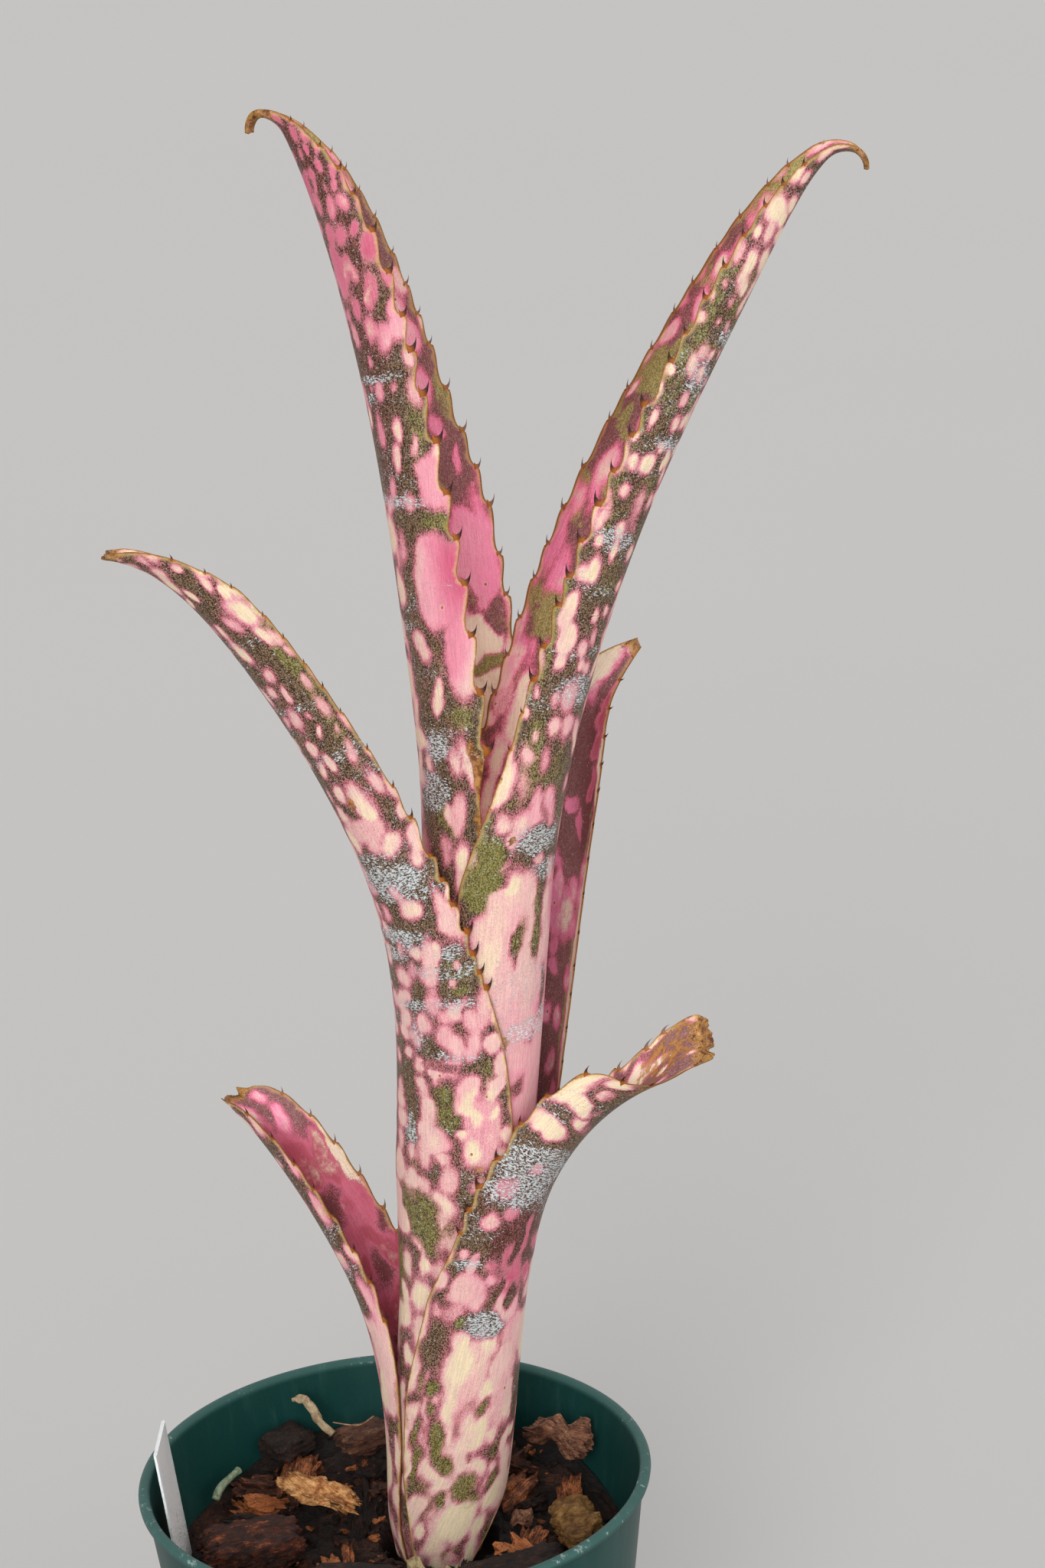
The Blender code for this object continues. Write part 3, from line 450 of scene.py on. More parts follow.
# For each kind of bark: its material slot, its dark, middle and bright colours, and how thin,
# ragged and wavy it is
BARK_KINDS = {
    "orange": (
        "bark_flake_orange", (0.30, 0.085, 0.020), (0.90, 0.44, 0.15), (1.0, 0.82, 0.52),
        0.55, 0.36, 0.75,
    ),
    "red": (
        "bark_dark_red", (0.010, 0.003, 0.0015), (0.070, 0.015, 0.005), (0.50, 0.13, 0.035),
        1.0, 0.14, 0.14,
    ),
    "brown": (
        "bark_brown", (0.030, 0.011, 0.006), (0.12, 0.045, 0.022), (0.34, 0.16, 0.09),
        0.9, 0.18, 0.15,
    ),
    "tan": (
        "bark_red_tan", (0.06, 0.020, 0.010), (0.30, 0.13, 0.07), (0.66, 0.36, 0.21),
        0.6, 0.24, 0.55,
    ),
    "ochre": (
        "bark_ochre", (0.10, 0.042, 0.010), (0.30, 0.15, 0.035), (0.55, 0.36, 0.15),
        0.8, 0.16, 0.40,
    ),
    "black": (
        "bark_near_black", (0.006, 0.003, 0.002), (0.022, 0.009, 0.005), (0.12, 0.045, 0.022),
        1.0, 0.15, 0.12,
    ),
}


# ---------------------------------------------------------------- settings


def colour(name, description, default):
    """A colour that a user may change."""
    return FloatVectorProperty(
        name=name, description=description, default=default, subtype="COLOR", size=3, min=0, max=1
    )


def length(name, description, default):
    """A length in metres that a user may change."""
    return FloatProperty(
        name=name, description=description, default=default, unit="LENGTH", subtype="DISTANCE",
        precision=5,
    )


class LeafSettings(PropertyGroup):
    pitch: length("Row Pitch", "Distance between rows of the leaf meshes", 0.0006)
    columns: IntProperty(name="Columns", description="Points across each face of a leaf", default=61, min=9)
    thickness: length("Thickness", "Thickness of a leaf along its middle", 0.00065)
    margin: FloatProperty(
        name="Margin Share", description="Thickness at the margins, as a share", default=0.5,
        subtype="FACTOR",
    )
    scallop: length("Scallop", "Deepest that the margin curves in between two thorns", 0.0017)
    thorn: length("Thorn", "How far a thorn stands out from the margin", 0.0024)
    seed: IntProperty(name="Seed", description="Changes the pattern of the spots", default=11)
    ground_dark: colour("Ground Dark", "Dark grains of the skin between the spots", (0.034, 0.018, 0.010))
    ground_light: colour("Ground Light", "Light grains of the skin between the spots", (0.28, 0.175, 0.10))
    green_dark: colour("Green Dark", "Dark grains of the green skin", (0.115, 0.105, 0.020))
    green_light: colour("Green Light", "Light grains of the green skin", (0.33, 0.30, 0.090))
    maroon: colour("Maroon", "Dark grains beside the spots", (0.055, 0.012, 0.012))
    crimson: colour("Crimson", "Edge of the spots", (0.74, 0.23, 0.29))
    magenta: colour("Magenta", "Deepest pink of the shaded spots", (0.66, 0.11, 0.21))
    pink: colour("Pink", "Body of the spots", (0.93, 0.36, 0.46))
    pale: colour("Pale Pink", "Pale skin of the spots", (0.90, 0.57, 0.52))
    cream: colour("Cream", "Centre of the spots", (0.94, 0.76, 0.52))
    scurf: colour("Scurf", "Silver scales on the skin", (0.70, 0.73, 0.75))
    straw: colour("Straw", "Pale line inside the margin", (0.80, 0.60, 0.25))
    amber: colour("Amber", "Line between the straw and the rust", (0.44, 0.19, 0.030))
    rust: colour("Rust", "Outermost line of the margin", (0.24, 0.070, 0.012))
    dry: colour("Dry", "Withered tips and patches", (0.42, 0.175, 0.035))
    thorn_red: colour("Thorn", "Foot of a thorn", (0.16, 0.028, 0.012))


class PotSettings(PropertyGroup):
    base_radius: length("Base Radius", "Outer radius of the pot's foot", 0.0405)
    rim_step: length("Rim Step", "How far the rim stands out from the wall", 0.0012)
    rim_depth: length("Rim Depth", "Height of the rim's band", 0.0024)
    wall: length("Wall", "Thickness of the wall", 0.0012)
    floor: length("Floor", "Thickness of the floor", 0.0016)
    drain_radius: length("Drain Radius", "Radius of a drain hole", 0.004)
    drain_circle: length("Drain Circle", "Distance of the drain holes from the middle", 0.025)
    segments: IntProperty(name="Segments", description="Steps round the pot", default=192, min=24)
    teal: colour("Teal", "Moulded plastic", (0.0045, 0.045, 0.040))
    worn: colour("Worn Teal", "Plastic where it is chalky and rubbed", (0.060, 0.150, 0.135))
    scale: colour("Lime Scale", "White scale on the rim", (0.40, 0.50, 0.47))
    dirt: colour("Dirt", "Dried splashes of mix", (0.16, 0.075, 0.030))


class MixSettings(PropertyGroup):
    level: length("Level", "Height of the mix at the front", 0.0745)
    heap: length("Heap", "How much higher it lies at the back", 0.007)
    dip: length("Dip", "Depth of the hollow at the left", 0.004)
    well: length("Well", "Radius of the hollow round the plant", 0.0128)
    crumbs: IntProperty(name="Crumbs", description="Number of small pieces on the mix", default=620, min=0)
    lumps: IntProperty(name="Lumps", description="Number of larger pieces on the mix", default=64, min=0)
    seed: IntProperty(name="Seed", description="Changes how the crumbs lie", default=4)


class StageSettings(PropertyGroup):
    position: FloatVectorProperty(
        name="Camera", description="Where the camera stands", default=(0.0351, -0.8173, 0.5354),
        subtype="XYZ", unit="LENGTH", precision=4,
    )
    pitch: FloatProperty(
        name="Pitch", description="How far down the camera looks", default=math.radians(19.44),
        subtype="ANGLE",
    )
    roll: FloatProperty(
        name="Roll", description="How far the camera is tipped sideways", default=math.radians(-3.26),
        subtype="ANGLE",
    )
    lens: FloatProperty(name="Lens", description="Focal length in millimetres", default=100, min=1)
    floor: colour("Floor", "Colour of the floor", (0.62, 0.61, 0.60))
    key: FloatProperty(name="Key Light", description="Strength of the main light", default=1.2, min=0)
    fill: FloatProperty(
        name="Fill Light", description="Strength of the light all round", default=0.66, min=0
    )


def settings(kind):
    """The settings of the leaf, pot, mix or stage."""
    return getattr(bpy.context.scene, "billbergia_" + kind)


# ---------------------------------------------------------------- materials


class Value:
    """A number that varies over a surface: an output socket with arithmetic."""

    def __init__(self, finish, socket):
        self.finish = finish
        self.socket = socket

    def math(self, operation, other):
        return self.finish.node("ShaderNodeMath", {"operation": operation}, {0: self, 1: other})

    def __add__(self, other):
        return self.math("ADD", other)

    def __mul__(self, other):
        return self.math("MULTIPLY", other)

    def __sub__(self, other):
        return self.math("SUBTRACT", other)

    def __rsub__(self, other):
        return self * -1 + other

    __radd__ = __add__
    __rmul__ = __mul__
    __rmul__ = __mul__

    def at_most(self, other):
        return self.math("MINIMUM", other)

    def at_least(self, other):
        return self.math("MAXIMUM", other)

    def between(self, low, high):
        """0 up to low, 1 from high on, and a smooth rise between; low may be the larger."""
        ends = {"Value": self, "From Min": low, "From Max": high}
        return self.finish.node("ShaderNodeMapRange", {"interpolation_type": "SMOOTHSTEP"}, ends)


class Finish:
    """A material under way: its node tree and its one Principled shader."""

    def __init__(self, name, roughness=0.5, specular=0.5):
        self.material = bpy.data.materials.new(name)
        self.material.use_nodes = True
        self.tree = self.material.node_tree
        self.shader = self.tree.nodes["Principled BSDF"]
        self.shader.inputs["Roughness"].default_value = roughness
        self.shader.inputs["Specular IOR Level"].default_value = specular

    def node(self, kind, setup=None, sockets=None, output=0):
        """Adds a node: its settings first, then what its sockets hold or are linked to."""
        made = self.tree.nodes.new(kind)
        for key, value in (setup or {}).items():
            setattr(made, key, value)
        for key, given in (sockets or {}).items():
            self.feed(made.inputs[key], given)
        return Value(self, made.outputs[output])

    def feed(self, socket, given):
        if isinstance(given, Value):
            self.tree.links.new(given.socket, socket)
        elif socket.type == "RGBA":
            socket.default_value = (*given[:3], 1)
        else:
            socket.default_value = given

    def attribute(self, name):
        """The three parts of a vector that the mesh carries."""
        return self.parts(self.node("ShaderNodeAttribute", {"attribute_name": name}, output=1))

    def parts(self, vector):
        split = self.node("ShaderNodeSeparateXYZ", sockets={0: vector})
        outputs = split.socket.node.outputs
        return [Value(self, outputs[axis]) for axis in range(3)]

    def joined(self, x, y, z):
        return self.node("ShaderNodeCombineXYZ", sockets={0: x, 1: y, 2: z})

    def where(self):
        """The place on the object itself, in metres."""
        return self.node("ShaderNodeTexCoord", output=3)

    def stretched(self, vector, factors):
        return self.node("ShaderNodeVectorMath", {"operation": "MULTIPLY"}, {0: vector, 1: factors})

    def noise(self, vector, scale, detail=2.0, roughness=0.5):
        given = {"Vector": vector, "Scale": scale, "Detail": detail, "Roughness": roughness}
        return self.node("ShaderNodeTexNoise", sockets=given)

    def cells(self, vector, scale):
        """The distance to the middle of the nearest of many scattered cells."""
        return self.node("ShaderNodeTexVoronoi", sockets={"Vector": vector, "Scale": scale})

    def mix(self, share, first, second, way="MIX"):
        """From the first colour to the second as share goes from 0 to 1."""
        setup = {"data_type": "RGBA", "blend_type": way}
        return self.node("ShaderNodeMix", setup, {0: share, 6: first, 7: second}, output=2)

    def raised(self, height, distance, strength=1.0):
        """Feeds the shader's normal with a height map."""
        given = {"Height": height, "Distance": distance, "Strength": strength}
        bump = self.node("ShaderNodeBump", sockets=given)
        self.tree.links.new(bump.socket, self.shader.inputs["Normal"])

    def ends(self, **sockets):
        """Feeds the shader's own sockets and hands over the material."""
        names = {"colour": "Base Color", "roughness": "Roughness", "glow": "Emission Color"}
        for key, given in sockets.items():
            self.feed(self.shader.inputs[names[key]], given)
        return self.material


# ---------------------------------------------------------------- meshes


def add_piece(name, points, faces, finish, carried=None, sharp=None):
    """Makes one named, smooth-shaded piece; carried holds a vector for each point, by name."""
    mesh = bpy.data.meshes.new(name)
    mesh.from_pydata(np.asarray(points).tolist(), [], [list(face) for face in faces])
    for key, vectors in (carried or {}).items():
        layer = mesh.attributes.new(key, "FLOAT_VECTOR", "POINT")
        layer.data.foreach_set("vector", np.ascontiguousarray(vectors, np.float32).ravel())
    mesh.shade_smooth()
    if sharp:
        mesh.set_sharp_from_angle(angle=math.radians(sharp))
    mesh.materials.append(finish)
    piece = bpy.data.objects.new(name, mesh)
    bpy.context.scene.collection.objects.link(piece)
    return piece


def settle(piece, node):
    """Puts a piece in the place of a CAD node."""
    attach(piece, "root")
    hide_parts(node)
    return piece


def grid_faces(rows, columns, start=0, closed=False):
    """Quads over a grid of points laid row by row; closed joins the last column to the first."""
    row = np.arange(rows - 1)[:, None] * columns
    column = np.arange(columns if closed else columns - 1)[None]
    after = (column + 1) % columns
    corners = (row + column, row + after, row + after + columns, row + column + columns)
    return np.stack(corners, -1).reshape(-1, 4) + start


def stacked(x, y, z):
    """Vectors from three arrays or numbers of like shape."""
    return np.stack(np.broadcast_arrays(x, y, z), -1)


def around(count):
    """Points of a unit circle in the XY plane."""
    turn = np.arange(count) * math.tau / count
    return np.stack([np.cos(turn), np.sin(turn)], -1)


def tube(line, wide, thick, corners):
    """Points of a tube along a line, whose half-width and half-thickness are vectors."""
    circle = around(corners)
    ring = circle[:, :1] * wide[:, None] + circle[:, 1:] * thick[:, None]
    return (line[:, None] + ring).reshape(-1, 3)


def tube_faces(rings, corners, ends=2):
    """Quads round a tube of rings, and a face over its first end or both ends."""
    total = rings * corners
    caps = [list(range(corners))[::-1], list(range(total - corners, total))]
    return grid_faces(rings, corners, closed=True).tolist() + caps[:ends]


def rim_faces(rows, columns):
    """Quads that join the edge of a grid to the edge of a second one laid after it."""
    size = rows * columns
    loop = [*range(columns), *range(2 * columns - 1, size, columns)]
    loop += [*range(size - 2, size - columns - 1, -1), *range(size - 2 * columns, 0, -columns)]
    return [[b, a, a + size, b + size] for a, b in zip(loop, loop[1:] + loop[:1])]


def cut_out(piece, cutters, sharp):
    """Takes the cutters' shapes out of a piece and removes them."""
    for cutter in cutters:
        cut = piece.modifiers.new("cut", "BOOLEAN")
        cut.operation = "DIFFERENCE"
        cut.solver = "EXACT"
        cut.object = cutter
    graph = bpy.context.evaluated_depsgraph_get()
    piece.data = bpy.data.meshes.new_from_object(piece.evaluated_get(graph))
    piece.modifiers.clear()
    for cutter in cutters:
        bpy.data.objects.remove(cutter, do_unlink=True)
    piece.data.set_sharp_from_angle(angle=math.radians(sharp))


def rotation(heading, pitch=0.0, roll=0.0):
    """A turn about X by the roll, then about Y by the pitch and about Z by the heading."""
    turn = Matrix.Identity(3)
    for angle, axis in ((heading, "Z"), (pitch, "Y"), (roll, "X")):
        turn = turn @ Matrix.Rotation(angle, 3, axis)
    return np.array(turn)


def unit(vectors):
    """The same directions, one unit long."""
    return vectors / np.linalg.norm(vectors, axis=-1, keepdims=True)


def smooth_noise(points, seed):
    """Smooth noise from -1 to 1 at points whose features are one unit across."""
    points = np.asarray(points, float)
    cell = np.floor(points).astype(np.int64)
    part = points - cell
    part = part * part * (3 - 2 * part)
    total = np.zeros(points.shape[:-1])
    for corner in itertools.product((0, 1), repeat=3):
        spot = cell + corner
        mixed = spot[..., 0] * 374761393 + spot[..., 1] * 668265263 + spot[..., 2] * 2246822519
        mixed = (mixed + seed * 3266489917) & 0xFFFFFFFF
        mixed = ((mixed ^ (mixed >> 15)) * 2246822519) & 0xFFFFFFFF
        mixed = ((mixed ^ (mixed >> 13)) * 3266489917) & 0xFFFFFFFF
        level = ((mixed ^ (mixed >> 16)) & 0xFFFF) / 0x7FFF - 1
        weight = np.prod(np.where(corner, part, 1 - part), axis=-1)
        total += level * weight
    return total


def rough_noise(points, seed, octaves=4, fade=0.5):
    """Several sizes of smooth noise together, still about -1 to 1."""
    points = np.asarray(points, float)
    total = np.zeros(points.shape[:-1])
    for octave in range(octaves):
        total += smooth_noise(points * 2**octave, seed + octave) * fade**octave
    return total / sum(fade**octave for octave in range(octaves))


def smooth_step(low, high, value):
    """0 at low, 1 at high and a smooth rise between; low may be the larger."""
    share = np.clip((value - low) / (high - low), 0, 1)
    return share * share * (3 - 2 * share)


def curve_value(stations, places):
    """A smooth curve through (place, value) stations that never overshoots them."""
    x, y = np.array(stations, float).T
    step = np.diff(x)
    rise = np.diff(y) / step
    slope = np.append(rise, rise[-1])
    for i in range(1, len(y) - 1):
        before, after = rise[i - 1], rise[i]
        if before * after <= 0:
            slope[i] = 0
            continue
        near = 2 * step[i] + step[i - 1]
        far = step[i] + 2 * step[i - 1]
        slope[i] = (near + far) / (near / before + far / after)
    i = np.clip(np.searchsorted(x, places, side="right") - 1, 0, len(step) - 1)
    t = (places - x[i]) / step[i]
    start = (1 + 2 * t) * (1 - t) ** 2 * y[i] + t * (1 - t) ** 2 * step[i] * slope[i]
    end = t**2 * (3 - 2 * t) * y[i + 1] + t**2 * (t - 1) * step[i] * slope[i + 1]
    return start + end


# ---------------------------------------------------------------- leaf form


class LeafForm:
    """Where a leaf's middle surface lies, at places along it and distances across it."""

    def __init__(self, leaf, places):
        self.leaf = leaf
        self.places = places
        self.end = leaf.blade[-1][0]
        self.split = leaf.sheath[-1][0]
        self.axis = np.array([math.sin(PLANT_LEAN), 0.0, math.cos(PLANT_LEAN)])
        azimuth = math.radians(leaf.azimuth)
        out = np.array([math.cos(azimuth), math.sin(azimuth), 0.0])
        self.out = unit(out - (out @ self.axis) * self.axis)
        self.side = np.cross(self.axis, self.out)
        lean, sway, self.roll, width, turn = self.course(places)
        self.half = width / 2
        middle = self.middle_line()
        ease = smooth_step(0, EASE_LENGTH, places - self.split)
        self.along = self.heading(lean * ease, sway)
        outward = np.cos(lean * ease)[:, None] * self.out - np.sin(lean * ease)[:, None] * self.axis
        across = unit(np.cross(self.along, outward))
        outward = np.cross(across, self.along)
        self.spoke = np.cos(turn)[:, None] * outward + np.sin(turn)[:, None] * across
        self.tangent = np.cross(self.along, self.spoke)
        self.centre = middle - outward * self.roll[:, None]
        self.skew = leaf.skew * np.clip(1 - (places - leaf.parting) / FADE_LENGTH, 0, 1)

    def course(self, places):
        """Lean, sway, roll radius, width and turn at places along the leaf."""
        leaf, split = self.leaf, self.split
        past = np.maximum(places, split)
        foot = curve_value(TUBE, np.array([split - 1.0, split]))
        rows = [(split, math.atan(foot[1] - foot[0]), 0.0, foot[1] + leaf.layer)]
        rows += [(row[0], math.radians(row[1]), math.radians(row[5]), row[3]) for row in leaf.blade]
        lean, sway, blade_roll = (curve_value([(row[0], row[k]) for row in rows], past) for k in (1, 2, 3))
        hugging = curve_value(TUBE, np.minimum(places, split)) + leaf.layer
        both = [(row[0], row[1], row[2]) for row in leaf.sheath]
        both += [(row[0], row[2], row[4]) for row in leaf.blade]
        width = curve_value([(row[0], row[1]) for row in both], places)
        turn = curve_value([(row[0], math.radians(row[2])) for row in both], places)
        return lean, sway, np.where(places <= split, hugging, blade_roll), width, turn

    def heading(self, lean, sway):
        """The directions in which the leaf grows."""
        up = np.cos(lean)[:, None] * self.axis + np.sin(lean)[:, None] * self.out
        return unit(up + np.tan(sway)[:, None] * self.side)

    def middle_line(self):
        """Straight up the tube, then along the blade's own bends."""
        leaf, split, places = self.leaf, self.split, self.places
        reach = curve_value(TUBE, np.minimum(places, split)) + leaf.layer
        line = PLANT_BASE + places[:, None] * self.axis + reach[:, None] * self.out
        knots = self.end * (1 - (1 - np.linspace(0, 1, leaf.rows)) ** TIP_CROWDING)
        knots = np.concatenate([[split], knots[knots >= split]])
        lean, sway = self.course(knots)[:2]
        growth = self.heading(lean, sway)
        steps = np.diff(knots)[:, None]
        mean = (growth[1:] + growth[:-1]) / 2
        mean[0] = growth[1]
        foot = curve_value(TUBE, np.array([split]))[0] + leaf.layer
        start = PLANT_BASE + split * self.axis + foot * self.out
        bends = np.vstack([start, start + np.cumsum(mean * steps, axis=0)])
        past = places > split
        i = np.clip(np.searchsorted(knots, places[past], side="right") - 1, 0, len(steps) - 1)
        step = steps[i]
        t = (places[past] - knots[i])[:, None] / step
        blend = (1 + 2 * t) * (1 - t) ** 2 * bends[i] + t**2 * (3 - 2 * t) * bends[i + 1]
        blend += t * (1 - t) ** 2 * step * growth[i] + t**2 * (t - 1) * step * growth[i + 1]
        line[past] = blend
        return line

    def surface(self, rows, across):
        """Points on the middle surface, and the directions out of it and across it."""
        angle = (across / self.roll[rows])[..., None]
        spoke = self.spoke[rows] * np.cos(angle) + self.tangent[rows] * np.sin(angle)
        over = self.tangent[rows] * np.cos(angle) - self.spoke[rows] * np.sin(angle)
        share = across / self.half[rows]
        radius = self.roll[rows] - self.skew[rows] * share
        return self.centre[rows] + spoke * radius[..., None], spoke, over


# ---------------------------------------------------------------- leaf pattern


class Coat:
    """The marks on one face of a leaf, as grids of numbers from about 0 to 1."""

    KINDS = "spot cream green scurf brown blush pale".split()
    # Log of the spots' usual size beside the table's, and the share of a row's places filled
    USUAL_SIZE = -0.06
    FILLED = 0.88
    # The part of its square that a round spot covers, and how close the staggered rows lie
    ROUND = 0.785
    ROW_PITCH = 0.86
    # Millimetres of leaf to a band of scales, and the dust of scales between the bands
    BAND_EVERY = 3.2
    DUST = 0.35
    # The reaches at which a soft spot begins to fade and has gone
    FADE = (1.5, 2.3)

    def __init__(self, leaf, u, v, inner, seed):
        self.leaf = leaf
        self.u = u
        self.inner = inner
        self.random = np.random.default_rng(seed)
        table = np.array(INSIDES[leaf.name] if inner else leaf.coat, float)
        long, wide = (np.interp(u, table[:, 0], table[:, k])[:, None] for k in (1, 2))
        places = stacked(u[:, None], v, seed)

        def cloud(along, across, shift, way, *octaves):
            return rough_noise(places * np.array([along, across, 1]) + shift, seed + way, *octaves)

        self.warped_u = places[..., 0] + 0.26 * long * cloud(0.20, 0.30, 0, 0, 3)
        self.warped_v = v + 0.34 * wide * cloud(0.20, 0.30, 40, 9, 3)
        self.half = np.abs(v).max(axis=1)
        self.grids = {kind: np.zeros(v.shape) for kind in self.KINDS}
        for kind, column in (("cream", 4), ("blush", 5), ("green", 6)):
            self.grids[kind] += np.interp(u, table[:, 0], table[:, column])[:, None]
        self.grids["green"] *= smooth_step(-0.20, 0.30, cloud(0.10, 0.16, 90, 5, 4, 0.65))
        self.grids["cream"] += 0.5 * cloud(0.12, 0.2, 70, 6, 2)
        self.grids["blush"] += 0.45 * cloud(0.05, 0.12, 20, 7, 2)
        self.scatter(table)
        self.grids["spot"] = np.sqrt(self.grids["spot"]) * (1 + 0.3 * cloud(0.09, 0.13, 50, 8, 2))
        self.band_scurf(table)
        self.place_by_hand()

    def shape(self, u, v, a, b, slant=0.0, flat=False):
        """The rows that a spot of half-length a and half-width b touches, and its share there;
        a flat one has a level middle."""
        level, end = self.FADE
        span = end * a + 2.5
        rows = slice(*np.searchsorted(self.u, [u - span, u + span]))
        along = self.warped_u[rows] - u
        reach = np.sqrt((along / a) ** 2 + ((self.warped_v[rows] - v - slant * along) / b) ** 2)
        if flat:
            soft = min(0.5, 1.4 / min(a, b))
            return rows, smooth_step(1 + soft, 1 - soft, reach)
        return rows, smooth_step(end, level, reach) / (1 + reach**4)

    def scatter(self, table):
        """Staggered rows of spots whose size and closeness change along the leaf."""
        random = self.random
        u = 0.0
        odd = False
        while u < self.leaf.blade[-1][0]:
            long, wide, cover = (np.interp(u, table[:, 0], table[:, k]) for k in (1, 2, 3))
            gap = math.sqrt(self.ROUND / cover)
            reach = np.interp(u, self.u, self.half) + wide
            v = -reach + (0.5 * wide * gap if odd else 0)
            while v < reach:
                size = math.exp(random.normal(self.USUAL_SIZE, 0.30))
                spot = (u + random.normal(0, 0.20) * long, v + random.normal(0, 0.20) * wide)
                a = long * size * random.uniform(0.75, 1.25) / 2
                b = wide * size * random.uniform(0.8, 1.2) / 2
                if random.random() < self.FILLED:
                    rows, share = self.shape(*spot, a, b, random.normal(0, 0.12))
                    self.grids["spot"][rows] += (random.uniform(0.8, 1.35) * share) ** 2
                v += wide * gap * random.uniform(0.8, 1.2)
            u += long * gap * self.ROW_PITCH
            odd = not odd

    def band_scurf(self, table):
        """Short cross-bands of silver scales."""
        random = self.random
        end = self.leaf.blade[-1][0]
        for _ in range(int(end / self.BAND_EVERY)):
            u = random.uniform(0, end)
            dense = np.interp(u, table[:, 0], table[:, 7])
            half = np.interp(u, self.u, self.half)
            v = random.uniform(-half, half)
            rows, share = self.shape(u, v, random.uniform(0.8, 2.2), random.uniform(3, 9), 0, True)
            self.grids["scurf"][rows] = np.maximum(self.grids["scurf"][rows], 1.5 * dense * share)
        self.grids["scurf"] += self.DUST * np.interp(self.u, table[:, 0], table[:, 7])[:, None]

    def place_by_hand(self):
        """The leaf's own marks for this face."""
        marks = [(kind, *mark) for kind, *group in self.leaf.marks for mark in group]
        for kind, u, v, a, b, strength, *slant in marks:
            if kind.startswith("in ") != self.inner:
                continue
            rows, share = self.shape(u, v, a, b, *slant, flat=True)
            for grid, way, amount in MARKS[kind.removeprefix("in ")]:
                held = self.grids[grid][rows]
                change = amount * strength * share
                if way == "raise":
                    held[...] = np.maximum(held, change)
                elif way == "lower":
                    held *= 1 - np.clip(change, 0, 1)
                else:
                    held += change



def thorn_places(leaf, table, random):
    """Distances along a margin at which its thorns stand."""
    places = []
    place = table[0, 0]
    while place < leaf.blade[-1][0] - BARE_TIP:
        places.append(place)
        place += np.interp(place, table[:, 0], table[:, 1]) * random.uniform(0.78, 1.22)
    return np.array(places)


def margin_line(form, thorns, table, deepest):
    """How far out a margin lies beside each row, scooped just above each thorn."""
    line = form.half.copy()
    for lower, upper in zip(thorns, thorns[1:]):
        bold = min(1.0, np.interp(lower, table[:, 0], table[:, 2])) ** 2
        rows = np.nonzero((form.places >= lower) & (form.places < upper))[0]
        x = (form.places[rows] - lower) / (upper - lower)
        rounded = np.sqrt(np.clip(1 - (1 - x / SCOOP) ** 2, 0, 1))
        scoop = np.where(x < SCOOP, rounded, 0.5 + 0.5 * np.cos(math.pi * (x - SCOOP) / (1 - SCOOP)))
        depth = min(deepest, 0.2 * (upper - lower)) * np.clip(form.half[rows] / 9, 0.12, 1)
        line[rows] += depth * bold * (0.25 - scoop)
    return line


def leaf_margins(form, look, random):
    """The near and the far margin: thorns' places and table, line, side and whether it is near."""
    leaf, places, end = form.leaf, form.places, form.end
    tables = [np.array(rows, float) for rows in leaf.thorns]
    thorns = [thorn_places(leaf, table, random) for table in tables]
    near, far = (margin_line(form, *pair, look.scallop / MM) for pair in zip(thorns, tables))
    wider = WIDER_NEAR.get(leaf.name, 0) * smooth_step(form.split + 30, form.split + 80, places)
    drawn_in = NARROW_TIP.get(leaf.name, 0) * smooth_step(end - 42, end - 2, places)
    lines = (near * (1 + wider) * (1 - drawn_in), far * (1 - wider))
    side = NEAR_SIDE[leaf.name]
    return [Margin(*row) for row in zip(thorns, tables, lines, (side, -side), (True, False))]


def add_thorn(form, row, edge, size, slim, corners=7, rings=8):
    """A hooked thorn on a margin: its points, faces and how far up it each point is."""
    sign = math.copysign(1, edge)
    # its foot is sunk a little into the margin
    spot = (np.array([row]), np.array([edge - 0.45 * sign]))
    foot, spoke, over = (part[0] for part in form.surface(*spot))
    reach = np.linspace(0, 1, rings)
    out = size * (1.10 * reach - 0.22 * reach**3)
    up = size * (1.10 * reach**2 - 0.18 * reach)
    line = foot + out[:, None] * over * sign + up[:, None] * form.along[row]
    ahead = unit(np.gradient(line, axis=0))
    half_wide = size * slim * (0.46 * (1 - reach) ** 2.3 + 0.17 * (1 - reach) ** 0.9) + 0.02
    half_thick = 0.22 * (1 - reach) ** 0.7 + 0.015
    wide = unit(np.cross(spoke, ahead)) * half_wide[:, None]
    points = tube(line, wide, spoke * half_thick[:, None], corners)
    tip = len(points)
    points = np.vstack([points, line[-1] + ahead[-1] * 0.08 * size])
    last = tip - corners
    faces = [[last + k, last + (k + 1) % corners, tip] for k in range(corners)]
    shares = np.append(np.repeat(reach, corners), 1.0)
    return points, tube_faces(rings, corners, ends=1) + faces, shares


